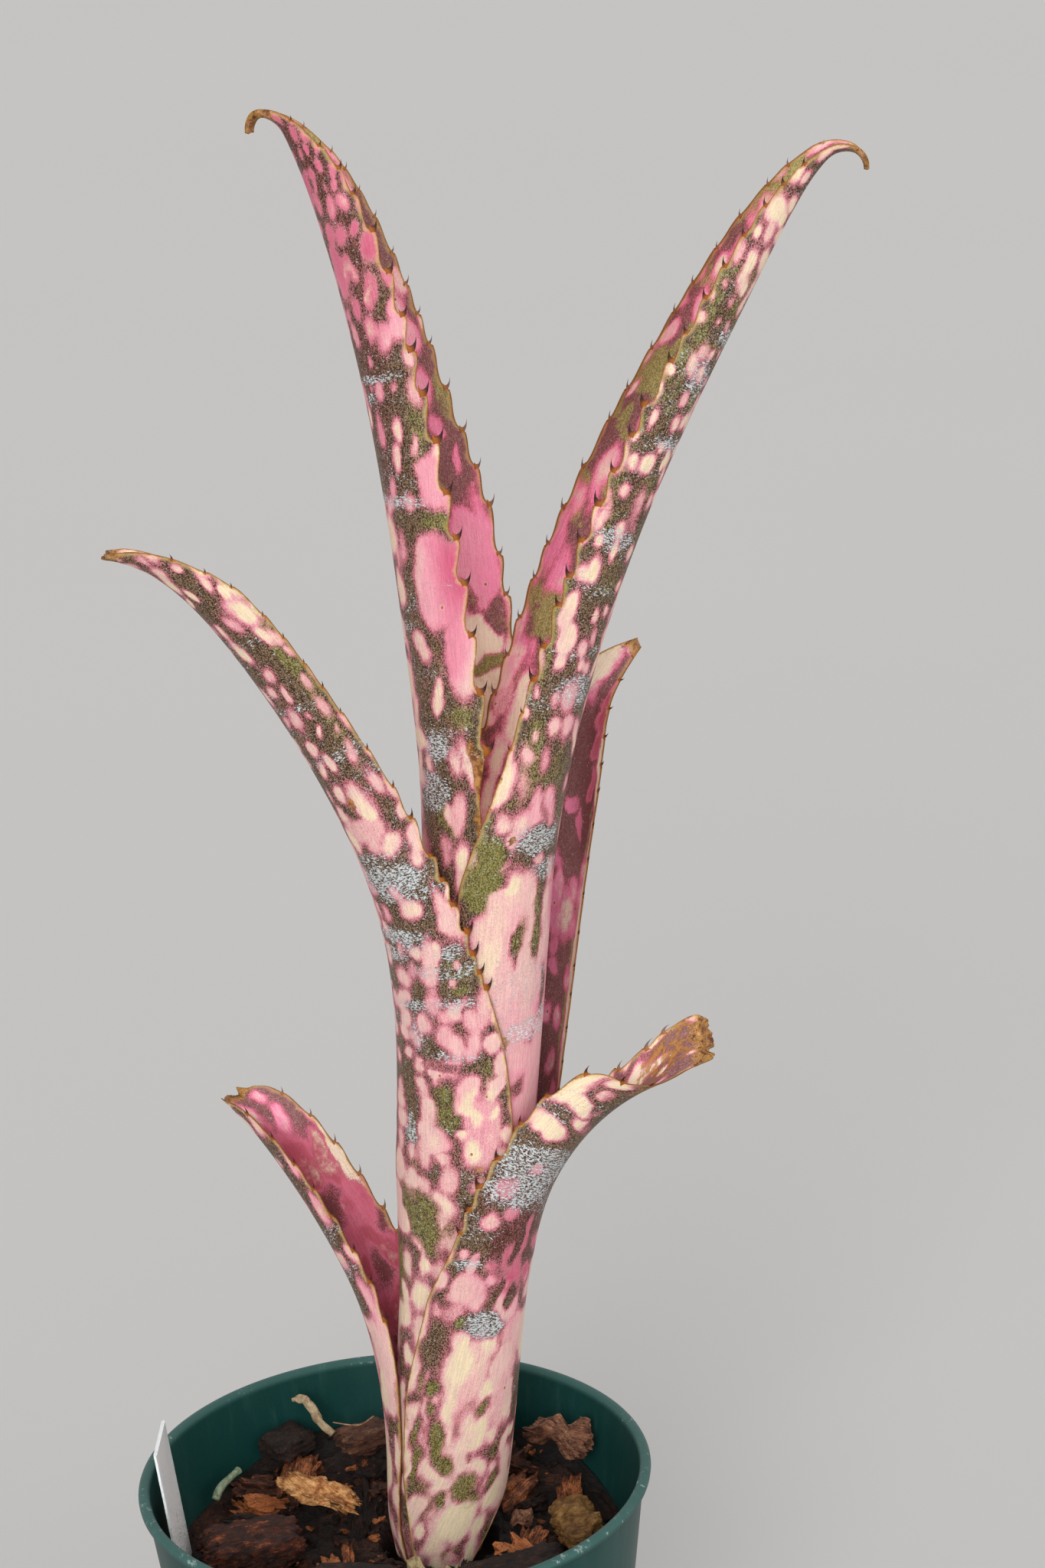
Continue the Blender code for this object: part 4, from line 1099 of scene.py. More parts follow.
def add_leaf(leaf, finish):
    """One leaf as a closed skin with scooped margins and hooked thorns."""
    look = settings("leaf")
    random = np.random.default_rng(look.seed + len(leaf.name) * 7 + int(leaf.azimuth))
    end = leaf.blade[-1][0]
    columns = look.columns
    count = int(end * MM / look.pitch) + 1
    places = end * (1 - (1 - np.linspace(0, 1, count)) ** ROW_CROWDING)
    form = LeafForm(leaf, places)
    margins = leaf_margins(form, look, random)
    low_line, high_line = (margin.line[:, None] for margin in sorted(margins, key=lambda item: item.side))
    # the columns crowd a little to the margins
    t = np.linspace(-1, 1, columns)
    quarter = math.pi / 2 * 0.94
    t = (0.55 * t + 0.45 * np.sin(t * quarter) / math.sin(quarter))[None]
    across = np.where(t < 0, t * low_line, t * high_line)
    rows = np.broadcast_to(np.arange(count)[:, None], across.shape)
    middle, spoke, _ = form.surface(rows, across)
    edge = np.minimum(high_line - across, across + low_line)

    # thinner to the margins and the tip
    tip = smooth_step(end - leaf.dry, end - 0.25 * leaf.dry, places)[:, None]
    slim = smooth_step(end - 45, end - 12, places)[:, None]
    thick = look.thickness / MM * (1 - (1 - look.margin) * t**2) * (1 - 0.3 * slim - 0.15 * tip)
    # a withered end is torn and uneven
    ragged = rough_noise(stacked(across * 0.55, 3, leaf.azimuth), 17, 3)
    torn = 0.34 * form.half[-1] * (1 + 1.4 * ragged) * smooth_step(end - 5, end, places)[:, None]
    middle = middle - torn[..., None] * form.along[:, None]
    ripple = rough_noise(stacked(rows * 0.045, across * 0.16, leaf.azimuth), 31, 2)
    lift = 0.05 * ripple * smooth_step(form.split, form.split + 40, places)[:, None] * (1 - slim)
    # how near each point is to the foot of a thorn
    closeness = np.zeros(across.shape)
    for margin in margins:
        for spot in margin.thorns:
            beside = slice(*np.searchsorted(places, [spot - 5, spot + 5]))
            gap = margin.side * margin.line[beside, None] - across[beside]
            reach = np.sqrt(((places[beside, None] - spot) / 0.9) ** 2 + (gap / 0.75) ** 2)
            closeness[beside] = np.maximum(closeness[beside], np.exp(-(reach**2)))

    faces = []
    points = []
    carried = {name: [] for name in ("place", "marks", "wear", "rim")}

    def carry(*vectors):
        for held, vector in zip(carried.values(), vectors):
            held.append(stacked(*vector).reshape(-1, 3))

    withered = smooth_step(end - leaf.dry, end - 0.2 * leaf.dry, places)[:, None]
    for inner, side in ((False, 1), (True, -1)):
        skin = middle + spoke * (lift + side * thick / 2)[..., None]
        points.append(skin.reshape(-1, 3))
        quads = grid_faces(count, columns, inner * count * columns)
        faces += quads[:, ::side].tolist()
        grids = Coat(leaf, places, across, inner, look.seed + int(leaf.azimuth) + 360).grids
        # scales past the scurf's own top are pale ones
        scurf = grids["scurf"] + 2 * np.round(np.clip(grids["pale"], 0, 1), 2)
        carry(
            (places[:, None], across, side),
            (grids["spot"], grids["cream"], grids["green"]),
            (scurf, grids["brown"], grids["blush"]),
            (edge, closeness, withered),
        )
    faces += rim_faces(count, columns)
    total = 2 * count * columns
    for margin in margins:
        for spot in margin.thorns:
            row = int(np.searchsorted(places, spot))
            scale = np.clip(form.half[row] / 7, 0.30, 1) * random.uniform(0.82, 1.12)
            scale *= np.interp(spot, margin.table[:, 0], margin.table[:, 2])
            out = margin.side * margin.line[row]
            hook = add_thorn(form, row, out, look.thorn / MM * scale, 1.0 if margin.near else 0.7)
            points.append(hook[0])
            faces += [[corner + total for corner in face] for face in hook[1]]
            total += len(hook[0])
            blank = 0 * hook[2]
            carry(
                (spot, out, blank + 1),
                (blank, 0, 0),
                (blank, 0, not margin.near),
                (0, 1 + hook[2], tip[row]),
            )
    # the curl of a tip is finer than the CAD solid's, and stays inside its box
    low, high = np.array(CAD_BOX)
    points = np.clip(np.vstack(points) * MM, low + SNUG, high - SNUG)
    carried = {name: np.vstack(parts) for name, parts in carried.items()}
    return settle(add_piece(leaf.name, points, faces, finish, carried), leaf.name)


def leaf_finish():
    """Waxy skin: grainy brown and green ground, ringed spots, silver scurf and rusty margins."""
    look = settings("leaf")
    skin = Finish("billbergia_leaf", 0.45, 0.22)
    u, v, side = skin.attribute("place")
    spot, cream, green = skin.attribute("marks")
    scurf, brown, blush = skin.attribute("wear")
    edge, thorn, dry = skin.attribute("rim")
    inner = side.between(0.2, -0.2)
    spread = skin.joined(u, v, side * 9)

    # speckle of about a third of a millimetre, grit of half that
    speckle = skin.noise(skin.stretched(spread, (0.75, 1.15, 1)), 3.7, 1.5, 0.6)
    grit = skin.noise(skin.stretched(spread, (0.8, 1.1, 1)), 6.6, 1)
    blotch = skin.noise(spread, 0.75, 2.5, 0.6)
    vein = skin.noise(skin.stretched(spread, (0.07, 1, 1)), 4.4, 1)
    coarse = speckle - 0.5
    fine = grit - 0.5
    cloud = blotch - 0.5
    grain = (speckle + fine * 0.8).between(0.39, 0.64)

    # skin between the spots
    ground = skin.mix(grain, look.ground_dark, look.ground_light)
    leafy = skin.mix(grain, look.green_dark, look.green_light)
    greenness = (green + cloud * 1.6 + coarse * 0.7).between(0.40, 0.95)
    ground = skin.mix(greenness * 0.85, ground, leafy)
    shade = (blush * 0.9 - green * 0.6 + cloud * 0.4).between(0.45, 1.3)
    ground = skin.mix(shade * 0.7, ground, skin.mix(grain, look.maroon, TINTS["wine"]))
    dusk = skin.mix(grain * 0.6, TINTS["dusk"], TINTS["dawn"])
    # a blush past 1.15 darkens an inner face; on the rear right leaf this is partly painted shade
    dusk = skin.mix(blush.between(1.15, 1.8), dusk, TINTS["deep"])
    olive = skin.mix(grain * 0.7, TINTS["olive"], TINTS["lime"])
    dusk = skin.mix((green + cloud * 0.8).between(0.3, 0.75), dusk, olive)
    ground = skin.mix(inner * 0.95, ground, dusk)

    # spots: a reddened edge, pink body, pale and then cream centre
    level = spot + cloud * 0.30 + coarse * 0.34 + fine * 0.34
    edging = skin.mix(grain, look.maroon, look.crimson)
    leafy_part = green.between(0.50, 1.05)
    ringed = level.between(0.12, 0.45) * (0.42 - inner * 0.22 - leafy_part * 0.35)
    ground = skin.mix(ringed * blush.between(-0.05, 0.30), ground, edging)
    on_spot = level.between(0.24, 0.82)
    body = skin.mix((blush + cloud * 0.9).between(0.25, 1.0), look.pale, look.pink)
    body = skin.mix(blush.between(0.85, 1.5) * (1 - inner), body, look.magenta)
    shaded = skin.mix((blush + cloud * 0.9).between(0.15, 0.85), TINTS["shell"], TINTS["rose"])
    # the same for the inner spots: partly painted shade on the rear right leaf
    shaded = skin.mix(blush.between(1.15, 1.8), shaded, TINTS["ruby"])
    body = skin.mix(inner, body, shaded)
    fringe = skin.mix(leafy_part * 0.85, look.crimson, TINTS["tan"])
    rose = skin.mix(level.between(0.50, 1.0), skin.mix(inner, fringe, TINTS["coral"]), body)
    lighter = level.between(0.74, 1.15) * blush.between(1.2, 0.4)
    rose = skin.mix(lighter * 0.7, rose, look.pale)
    centre = level.between(0.80, 1.20) * (cream + cloud * 0.7).between(0.15, 0.80)
    rose = skin.mix(centre, rose, skin.mix(inner, look.cream, TINTS["butter"]))
    greened = on_spot * (green + cloud * 1.2).between(0.80, 1.35) * 0.7
    rose = skin.mix(greened, rose, TINTS["moss"])
    tone = skin.mix(on_spot, ground, rose)
    lines = vein.between(0.35, 0.65) * 0.14 + speckle.between(0.35, 0.65) * 0.08 + 0.83
    tone = skin.mix(1.0, tone, skin.joined(lines, lines, lines), "MULTIPLY")

    # pin-prick dots, each with a pale ring
    cells = skin.stretched(spread, (0.17, 0.21, 1))
    far = skin.cells(cells, 1.0)
    tone = skin.mix(far.between(0.130, 0.090) * on_spot * 0.22, tone, look.cream)
    tone = skin.mix(far.between(0.072, 0.045) * on_spot * 0.9, tone, TINTS["pinprick"])

    # margins: a pale yellow tinge, amber, then rust, and brown at the thorns
    uneven = skin.noise(skin.joined(u * 0.35, side * 5, 0), 1.0, 2) - 0.5
    straw = (edge + uneven * 2.8 + coarse * 1.2).between(1.1, 0.25)
    tone = skin.mix(straw * 0.45, tone, skin.mix(greenness * 0.7, look.straw, TINTS["sap"]))
    tone = skin.mix((edge + uneven * 0.9 + coarse * 0.4).between(0.44, 0.14) * 0.7, tone, look.amber)
    tone = skin.mix((edge + uneven * 0.5).between(0.17, 0.05) * 0.7, tone, look.rust)
    tone = skin.mix(thorn.between(0.30, 0.80) * 0.75, tone, TINTS["honey"])
    tone = skin.mix(thorn.between(0.75, 0.97) * 0.8, tone, look.thorn_red)

    # withered patches and tips
    burnt = (brown + cloud * 1.2 + coarse * 0.5).between(0.30, 0.60)
    rusty = skin.mix(blotch.between(0.35, 0.65), TINTS["singed"], TINTS["toast"])
    tone = skin.mix(burnt * 0.92, tone, rusty)
    withered = (dry + cloud * 1.3 + coarse * 0.4).between(0.35, 0.85)
    papery = skin.mix(speckle.between(0.42, 0.6), look.dry, TINTS["paper"])
    papery = skin.mix(blotch.between(0.52, 0.66), papery, TINTS["char"])
    papery = skin.mix((dry + cloud).between(0.70, 1.10) * 0.6, papery, TINTS["umber"])
    tone = skin.mix(withered * 0.9, tone, papery)

    # silver scales lie thickest on the dark skin
    heavy = scurf.between(1.3, 2.4)
    dust = skin.noise(skin.stretched(spread, (1.6, 0.6, 1)), 2.1, 3, 0.75) - 0.5
    scaly = scurf.at_most(1.3) * 0.47 - on_spot * 0.14 + dust * 3.0 + fine * 0.5 + cloud * 0.8
    scales = scaly.between(0.42, 0.56) * (1 - thorn.between(0.5, 1))
    silver = skin.mix(dust.between(-0.09, 0.06), TINTS["slate"], look.scurf)
    silver = skin.mix(heavy, silver, TINTS["chalk"])
    tone = skin.mix(scales * 0.88, tone, silver)

    # thorns: rusty feet, near-black points, greyer on the far margin
    up = thorn - 1
    point = skin.mix(blush * 0.75, TINTS["soot"], TINTS["ash"])
    foot = skin.mix(blush * 0.5, TINTS["ember"], TINTS["fawn"])
    hook = skin.mix(up.between(0.15, 0.62), foot, point)
    tone = skin.mix(thorn.between(0.99, 1.01), tone, hook)

    skin.raised(speckle * 0.5 + grit * 0.2 + scales * 0.7 + lines * 1.2 - burnt * 0.8, 0.00016, 0.8)
    sheen = (scales * 0.38 + withered * 0.15 + grain * 0.08 + 0.40).at_most(0.9)
    # painted glow: an emission on the spots of the paler inner faces stands in for light that comes through
    # the thin skin
    lit = inner * blush.between(1.35, 0.95) * on_spot * 0.11
    through = skin.mix(lit, (0.0, 0.0, 0.0), tone)
    skin.shader.inputs["Emission Strength"].default_value = 1.0
    return skin.ends(colour=tone, roughness=sheen, glow=through)


# ---------------------------------------------------------------- pot


def pot_finish():
    """Teal moulded plastic, chalky where it is rubbed, with lime scale and splashes of mix."""
    look = settings("pot")
    plastic = Finish("pot_plastic", 0.42, 0.20)
    here = plastic.where()
    x, y, z = plastic.parts(here)
    streaks = plastic.noise(plastic.stretched(here, (1, 1, 0.06)), 420, 3, 0.6)
    haze = plastic.noise(plastic.stretched(here, (1, 1, 0.45)), 42, 3, 0.55)
    fine = plastic.noise(here, 1500, 2)
    flecks = plastic.noise(here, 620, 3, 0.65)
    rim = z.between(0.0942, 0.0954)
    away = plastic.joined(x, y, 0)
    radius = plastic.node("ShaderNodeVectorMath", {"operation": "LENGTH"}, {0: away}, output=1)
    taper = 0.1276
    outside = (radius - z * taper).between(0.0396, 0.0402)
    rubbed = (rim * 0.62 + haze.between(0.48, 0.72) * 0.20 + streaks.between(0.5, 0.75) * 0.16).at_most(1)
    tone = plastic.mix(rubbed, look.teal, look.worn)
    lime = (flecks + rim * 0.10 + (haze - 0.5) * 0.5).between(0.70, 0.84) * rim.at_least(outside * 0.35)
    tone = plastic.mix(lime * 0.8, tone, look.scale)
    low = z.between(0.060, 0.094)
    splash = (flecks + (haze - 0.5) * 0.7).between(0.74, 0.80) * low
    tone = plastic.mix(splash * 0.85, tone, look.dirt)
    tone = plastic.mix(fine * 0.10, tone, look.worn)
    plastic.raised(fine * 0.35 + streaks * 0.5 + splash * 1.5 + lime * 1.2, 0.00012, 0.6)
    dull = (lime * 0.3 + splash * 0.4 + haze * 0.22 + 0.32).at_most(0.9)
    return plastic.ends(colour=tone, roughness=dull)


def wall_radius(height):
    """The outer radius of the pot's wall below its rim."""
    look = settings("pot")
    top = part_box("pot")[1]
    neck = top.x - look.rim_step
    return look.base_radius + (neck - look.base_radius) * height / top.z


def inner_radius(height):
    """The inner radius of the pot's wall."""
    return wall_radius(height) - settings("pot").wall


def turned(profile, segments):
    """Points and faces of a closed solid: a profile of (radius, height) turned round the Z axis."""
    rings = [np.column_stack([around(segments) * r, np.full(segments, z)]) for r, z in profile]
    return np.vstack(rings), tube_faces(len(profile), segments)


def quarter_round(radius, height, size, angles, inner=False):
    """Profile points up the outer side of a bead, or down its inner side."""
    if inner:
        return [(radius - size * math.sin(a), height + size * math.cos(a)) for a in angles]
    return [(radius + size * math.cos(a), height + size * math.sin(a)) for a in angles]


def add_pot():
    """The turned pot: beaded rim, tapered wall, foot ring, and a floor with drain holes."""
    look = settings("pot")
    _, (rim, _, crown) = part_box("pot")
    neck = crown - look.rim_depth
    foot = look.base_radius
    corner = inner_radius(look.floor)
    bead = 0.0011
    middle = 0.0085
    recess = 0.0006
    rows = 30
    right_angle = math.pi / 2
    # underside and foot ring
    profile = [(middle, recess), (foot - 0.0050, recess), (foot - 0.0044, 0)]
    profile += [(foot - 0.0014, 0), (foot - 0.0003, recess)]
    # wall and the step under the rim
    profile += [(wall_radius(z), z) for z in np.linspace(0.0022, neck - 0.0004, rows)]
    profile += [(rim - 0.0005, neck + 0.0002), (rim - 0.0001, neck + 0.0007), (rim, neck + 0.0013)]
    # beaded rim
    profile += quarter_round(rim - bead, crown - bead, bead, np.linspace(0, right_angle, 7))
    lip = inner_radius(crown) + bead
    profile += quarter_round(lip, crown - bead, bead, np.linspace(0.1, right_angle, 7), inner=True)
    # inside of the wall, and the floor
    profile += [(inner_radius(z), z) for z in np.linspace(crown - 0.003, look.floor + 0.0018, rows)]
    profile += [(corner - 0.0010, look.floor + 0.0004), (corner - 0.0022, look.floor), (middle, look.floor)]
    sharp = 40
    pot = add_piece("pot", *turned(profile, look.segments), pot_finish(), sharp=sharp)
    cutters = []
    drill = [(look.drain_radius, -0.004), (look.drain_radius, 0.006)]
    for index in range(DRAINS):
        angle = math.tau * (index + 0.5) / DRAINS
        points, faces = turned(drill, 32)
        points += np.array([math.cos(angle), math.sin(angle), 0]) * look.drain_circle
        cutters.append(add_piece("drain_cutter", points, faces, pot.data.materials[0]))
    cut_out(pot, cutters, sharp)
    return settle(pot, "pot")


# ---------------------------------------------------------------- mix


def mix_height(x, y):
    """The top of the mix: heaped at the back, with a hollow at the left."""
    look = settings("mix")
    heap = smooth_step(0.010, 0.040, y)
    dip = np.exp(-(((x + 0.034) / 0.012) ** 2) - ((y - 0.028) / 0.012) ** 2)
    return look.level + look.heap * heap - look.dip * dip


def rubble_height(x, y):
    """The mix's top with its lumps and hollows."""
    spots = stacked(x, y, 0)
    lumps = rough_noise(spots * 190, 3, 4, 0.6) * 0.0016
    ridges = 0.0011 * (1 - np.abs(rough_noise(spots * np.array([260, 420, 1]), 8, 3)) * 3)
    return mix_height(x, y) + lumps + np.clip(ridges, -0.001, 0.0012) - 0.0006


def bark_finish(name, dark, middle, bright):
    """Layered, stringy bark: dark pith, fibres in the middle colour and a few bright strands."""
    bark = Finish(name, 0.85, 0.40)
    x, y, z = bark.attribute("fibre")
    tint, shade, _ = bark.attribute("tone")
    along = bark.joined(x * 0.16, y, z)
    strings = bark.noise(along, 2.6, 3, 0.62)
    threads = bark.noise(bark.stretched(along, (0.6, 1, 1)), 7.5, 2, 0.6)
    patches = bark.noise(bark.joined(x, y, z), 0.42, 3, 0.6)
    pits = bark.noise(bark.joined(x, y, z), 3.2, 2, 0.7)
    level = strings * 0.55 + patches * 0.55 + (threads - 0.5) * 0.30 + (tint - 0.5) * 0.55 - 0.05
    tone = bark.mix(level.between(0.34, 0.60), dark, middle)
    tone = bark.mix((level + (pits - 0.5) * 0.3).between(0.55, 0.80), tone, bright)
    tone = bark.mix(pits.between(0.42, 0.30) * 0.75, tone, dark)
    # painted shade: the tone's second part darkens the undersides of the lumps
    tone = bark.mix(shade.between(0.5, 1.0) * 0.8, tone, dark)
    bark.raised(strings * 1.1 + threads * 0.5 + pits * 0.6, 0.00045, 0.9)
    return bark.ends(colour=tone, roughness=strings * 0.30 + 0.42)


def add_mix():
    """The potting mix: a lumpy bed of fine bark with a hollow for the plant."""
    look = settings("mix")
    segments = 250
    rings = 92
    wall_rings = 12
    clearance = 0.0003
    floor = 0.002
    circle = around(segments)

    def ring(spots, heights):
        return np.column_stack([spots, np.broadcast_to(heights, segments)])

    # up the wall of the pot, then over the top from the wall to the plant
    points = [
        ring(circle * (inner_radius(height) - clearance), height)
        for height in np.linspace(floor, look.level - 0.002, wall_rings)
    ]
    share = np.linspace(0, 1, rings)[:, None, None]
    rim = inner_radius(look.level + 0.003) - clearance
    top = circle * rim * (1 - share) + (PLANT_SPOT + circle * (look.well - 0.002)) * share
    x, y = top[..., 0], top[..., 1]
    share = share[..., 0]
    edge = smooth_step(0.0, 0.02, share)
    z = rubble_height(x, y) * edge + (mix_height(x, y) + 0.0004) * (1 - edge)
    well = smooth_step(0.94, 1.0, share)
    z = z * (1 - well) + (look.level - 0.0068) * well
    points += [ring(top[k], z[k]) for k in range(rings)]
    # down the hole that holds the plant's foot
    for height in (look.level - 0.0072, 0.0505):
        lean = math.tan(PLANT_LEAN) * (look.level - 0.0057 - height)
        spot = PLANT_SPOT - np.array([lean, 0])
        points.append(ring(spot + circle * look.well * 0.45, height))
    faces = tube_faces(len(points), segments)
    points = np.vstack(points)
    tone = stacked(0.5 + 0.35 * smooth_noise(points * 150, 5), 0.25, points[:, 0])
    # the bed's near-black colours are partly the dark bark, partly painted shade in the gaps between the
    # lumps
    finish = bark_finish("potting_mix", (0.003, 0.0015, 0.001), (0.016, 0.006, 0.003), (0.10, 0.030, 0.011))
    piece = add_piece("potting_mix", points, faces, finish, {"fibre": points / MM, "tone": tone})
    return settle(piece, "potting_mix")


def box_grid(steps):
    """A cube from -1 to 1 whose faces are grids of the given steps along x, y and z."""
    points = []
    faces = []
    for axis in range(3):
        first, second = [k for k in range(3) if k != axis]
        rows, columns = steps[first] + 1, steps[second] + 1
        for end in (-1, 1):
            start = sum(len(part) for part in points)
            sheet = np.full((rows, columns, 3), float(end))
            sheet[..., first] = np.linspace(-1, 1, rows)[:, None]
            sheet[..., second] = np.linspace(-1, 1, columns)
            quads = grid_faces(rows, columns, start)
            faces.append(quads if (end > 0) != (axis == 1) else quads[:, ::-1])
            points.append(sheet.reshape(-1, 3))
    points = np.vstack(points)
    faces = np.vstack(faces)
    _, kept, index = np.unique(np.round(points, 6), axis=0, return_index=True, return_inverse=True)
    return points[kept], index.reshape(-1)[faces]


def blunted(block, power):
    """A cube's points drawn in to a rounder solid, less so for a higher power."""
    return block / (np.abs(block) ** power).sum(axis=1, keepdims=True) ** (1 / power)


def add_bark(name, heading, kind, seed):
    """A piece of bark: stringy layers, ragged ends and a waved face, filling its node's place."""
    slot, dark, middle, bright, thin, ragged, wave = BARK_KINDS[kind]
    low, high = (np.array(corner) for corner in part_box(name))
    size = (high - low) / MM
    turn = rotation(math.radians(heading))
    # the sizes along the piece's own axes that fill the node's box
    spread = np.abs(turn[:2, :2])
    half = np.linalg.solve(spread + np.eye(2) * 0.05, size[:2] / 2)
    half = np.append(np.clip(half, 0.28 * size[:2].min(), 0.62 * size[:2].max()), size[2] / 2)
    mesh_pitch = 0.34
    steps = [max(10, int(value * 2 / mesh_pitch)) for value in half]
    block, faces = box_grid(steps)
    block = blunted(block, 5)
    shift = seed * 13.7
    grown = block * half
    x, y, z = block.T
    # layers that end raggedly, nibbled sides, and a waved face
    layer = np.floor((z + 1) * 2.6 + 0.8 * smooth_noise(grown * 0.12 + shift, seed))
    jag = smooth_noise(stacked(grown[:, 1] * 0.9, layer * 3.1, x * 0.4 + shift), seed + 1)
    fray = smooth_noise(stacked(grown[:, 1] * 2.6, grown[:, 2] * 1.6, x * 0.3 + shift), seed + 2)
    grown[:, 0] *= 1 + ragged * (jag * 0.9 + fray * 0.6 - 0.35)
    nibble = rough_noise(stacked(grown[:, 0] * 0.30, layer * 2.3, y * 0.4 - shift), seed + 3, 3)
    grown[:, 1] *= 1 + ragged * (nibble * 1.5 - 0.3)
    grown[:, 2] *= thin
    waves = rough_noise(stacked(x * 1.3, y * 1.3, shift), seed + 4, 2)
    grown[:, 2] += wave * half[2] * 2.2 * waves
    # strings along the grain, and pits
    strings = 1 - np.abs(rough_noise(grown * np.array([0.10, 0.85, 0.85]) + shift, seed + 5, 3)) * 2.4
    pits = rough_noise(grown * np.array([0.35, 0.7, 0.7]) - shift, seed + 6, 4, 0.6)
    push = unit(block * np.array([0.35, 1, 1.2]))
    rough = min(1.0, half[2] / 3) * (0.45 if thin < 0.7 else 1.0)
    grown += push * (0.42 * strings + 0.85 * pits)[:, None] * rough
    points = grown @ turn.T
    points -= (points.max(axis=0) + points.min(axis=0)) / 2
    points *= size / np.ptp(points, axis=0)
    points = points * MM + (low + high) / 2
    tone = stacked(0.5 + 0.3 * pits, 0, seed * 0.1)
    finish = bark_finish(name, dark, middle, bright)
    piece = add_piece(name, points, faces, finish, {"fibre": grown + shift, "tone": tone})
    return settle(piece, name)


def scatter_crumbs():
    """Lumps, splinters and crumbs of bark lying on the mix."""
    look = settings("mix")
    random = np.random.default_rng(look.seed)
    kept_clear = [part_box(name) for name in (*BARK, "plant_label", "dry_leaf_base", "green_twig")]
    parts = []
    total = 0
    for kind, count in (("lump", look.lumps), ("crumb", look.crumbs)):
        big = kind == "lump"
        block, faces = box_grid([14, 9, 5] if big else [4, 3, 2])
        block = blunted(block, 4)
        reach = inner_radius(look.level) - (0.004 if big else 0.0015)
        gap = 0.0045 if big else 0.0005
        made = 0
        while made < count:
            radius = reach * math.sqrt(random.random())
            angle = random.uniform(0, math.tau)
            x, y = radius * math.cos(angle), radius * math.sin(angle)
            if math.hypot(x - PLANT_SPOT[0], y - PLANT_SPOT[1]) < look.well + gap:
                continue
            if big and any(low.x < x < high.x and low.y < y < high.y for low, high in kept_clear):
                continue
            long = random.uniform(6.0, 15.0) if big else random.lognormal(0.55, 0.45)
            wide = long * random.uniform(0.3, 0.7)
            thick = min(5.0, long * random.uniform(0.2, 0.45))
            half = np.array([long, wide, thick]) / 2
            shard = block * half
            if big:
                swell = rough_noise(block * np.array([1.1, 2.2, 1.6]) + made * 7.1, 41, 4, 0.62)
                strings = np.abs(rough_noise(shard * np.array([0.12, 0.9, 0.9]) + made * 3.3, 43, 2))
                shard = shard * (1.05 + 0.85 * swell - 0.9 * strings)[:, None]
            else:
                shard = shard * (1 + 0.28 * random.standard_normal((len(block), 1)))
            turn = rotation(random.uniform(0, math.tau), random.normal(0, 0.33), random.normal(0, 0.45))
            lift = random.uniform(0.35, 1.05) if big else random.uniform(0.1, 1.1)
            height = rubble_height(*np.array([[x], [y]]))[0] + half[2] * MM * lift
            tint = random.choice([0.25, 0.5, 0.75, 1.0], p=[0.34, 0.32, 0.21, 0.13])
            lying = shard @ turn.T
            points = lying * MM + np.array([x, y, height])
            # painted shade: how shaded each point is, as a lump is darker underneath
            shade = smooth_step(-0.3, -1.8, lying[:, 2]) if big else 0 * lying[:, 2]
            tone = stacked(tint, shade, random.random())
            parts.append((points, faces + total, shard + random.uniform(0, 500), tone))
            total += len(block)
            made += 1
    points, quads, fibres, tones = (np.vstack(part) for part in zip(*parts))
    finish = bark_finish("mix_crumbs", (0.005, 0.0025, 0.0015), (0.085, 0.024, 0.010), (0.52, 0.17, 0.055))
    carried = {"fibre": fibres, "tone": tones}
    piece = add_piece("potting_mix_crumbs", points, quads, finish, carried, sharp=35)
    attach(piece, "root")
    return piece


# ---------------------------------------------------------------- dry pieces, stem and label


def strand(line, radii, corners=12):
    """Points and faces of a round strand along a line whose thickness varies."""
    line = np.asarray(line, float)
    ahead = unit(np.gradient(line, axis=0))
    side = unit(np.cross(ahead, [0.31, 0.17, 0.93]))
    over = np.cross(ahead, side)
    radii = np.asarray(radii)[:, None]
    return tube(line, side * radii, over * radii, corners), tube_faces(len(line), corners)


def smooth_path(knots, count):
    """An even, rounded line through a few points."""
    fine = np.linspace(0, len(knots) - 1, count)
    return np.stack([curve_value(list(enumerate(part)), fine) for part in zip(*knots)], -1)


def husk_finish(name, dark, light, speckle):
    """Dry plant skin: a papery colour with streaks and dark specks."""
    husk = Finish(name, 0.75, 0.3)
    here = husk.where()
    streaks = husk.noise(here, 900, 3, 0.6)
    cloud = husk.noise(here, 260, 3, 0.55)
    specks = husk.noise(here, 2600, 2, 0.6)
    tone = husk.mix((streaks * 0.5 + cloud * 0.5).between(0.36, 0.62), dark, light)
    tone = husk.mix(specks.between(0.42, 0.32) * 0.8, tone, speckle)
    husk.raised(streaks + specks * 0.5, 0.0003, 0.7)
    return husk.ends(colour=tone, roughness=cloud * 0.3 + 0.55)


def wobbly(line, amount, seed, scale=500):
    """A line with small kinks in it."""
    line = np.asarray(line, float)
    shift = stacked(*(smooth_noise(line * scale + 17 * k, seed + k) for k in range(3)))
    return line + amount * shift


def add_dry_root():
    """The dry root at the back, knuckled and blunt at its start."""
    low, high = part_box("dry_root")
    knots = [
        (low.x + 0.0009, high.y - 0.0012, high.z - 0.0013),
        (low.x + 0.0036, high.y - 0.0016, high.z - 0.0009),
        (low.x + 0.0054, high.y - 0.0022, high.z - 0.0033),
        (low.x + 0.0068, high.y - 0.0032, high.z - 0.0058),
        (high.x - 0.0013, low.y + 0.0012, low.z + 0.0012),
    ]
    line = wobbly(smooth_path(knots, 70), 0.00018, 21)
    share = np.linspace(0, 1, len(line))
    knuckle = 1 + 0.16 * smooth_noise(stacked(share * 9, 0, 0), 5)
    radii = (0.00112 - 0.0002 * share) * knuckle * np.sin(np.clip(share * 9, 0.5, math.pi / 2))
    finish = husk_finish("dry_root", (0.30, 0.20, 0.11), (0.62, 0.50, 0.31), (0.20, 0.11, 0.07))
    return settle(add_piece("dry_root", *strand(line, radii), finish), "dry_root")


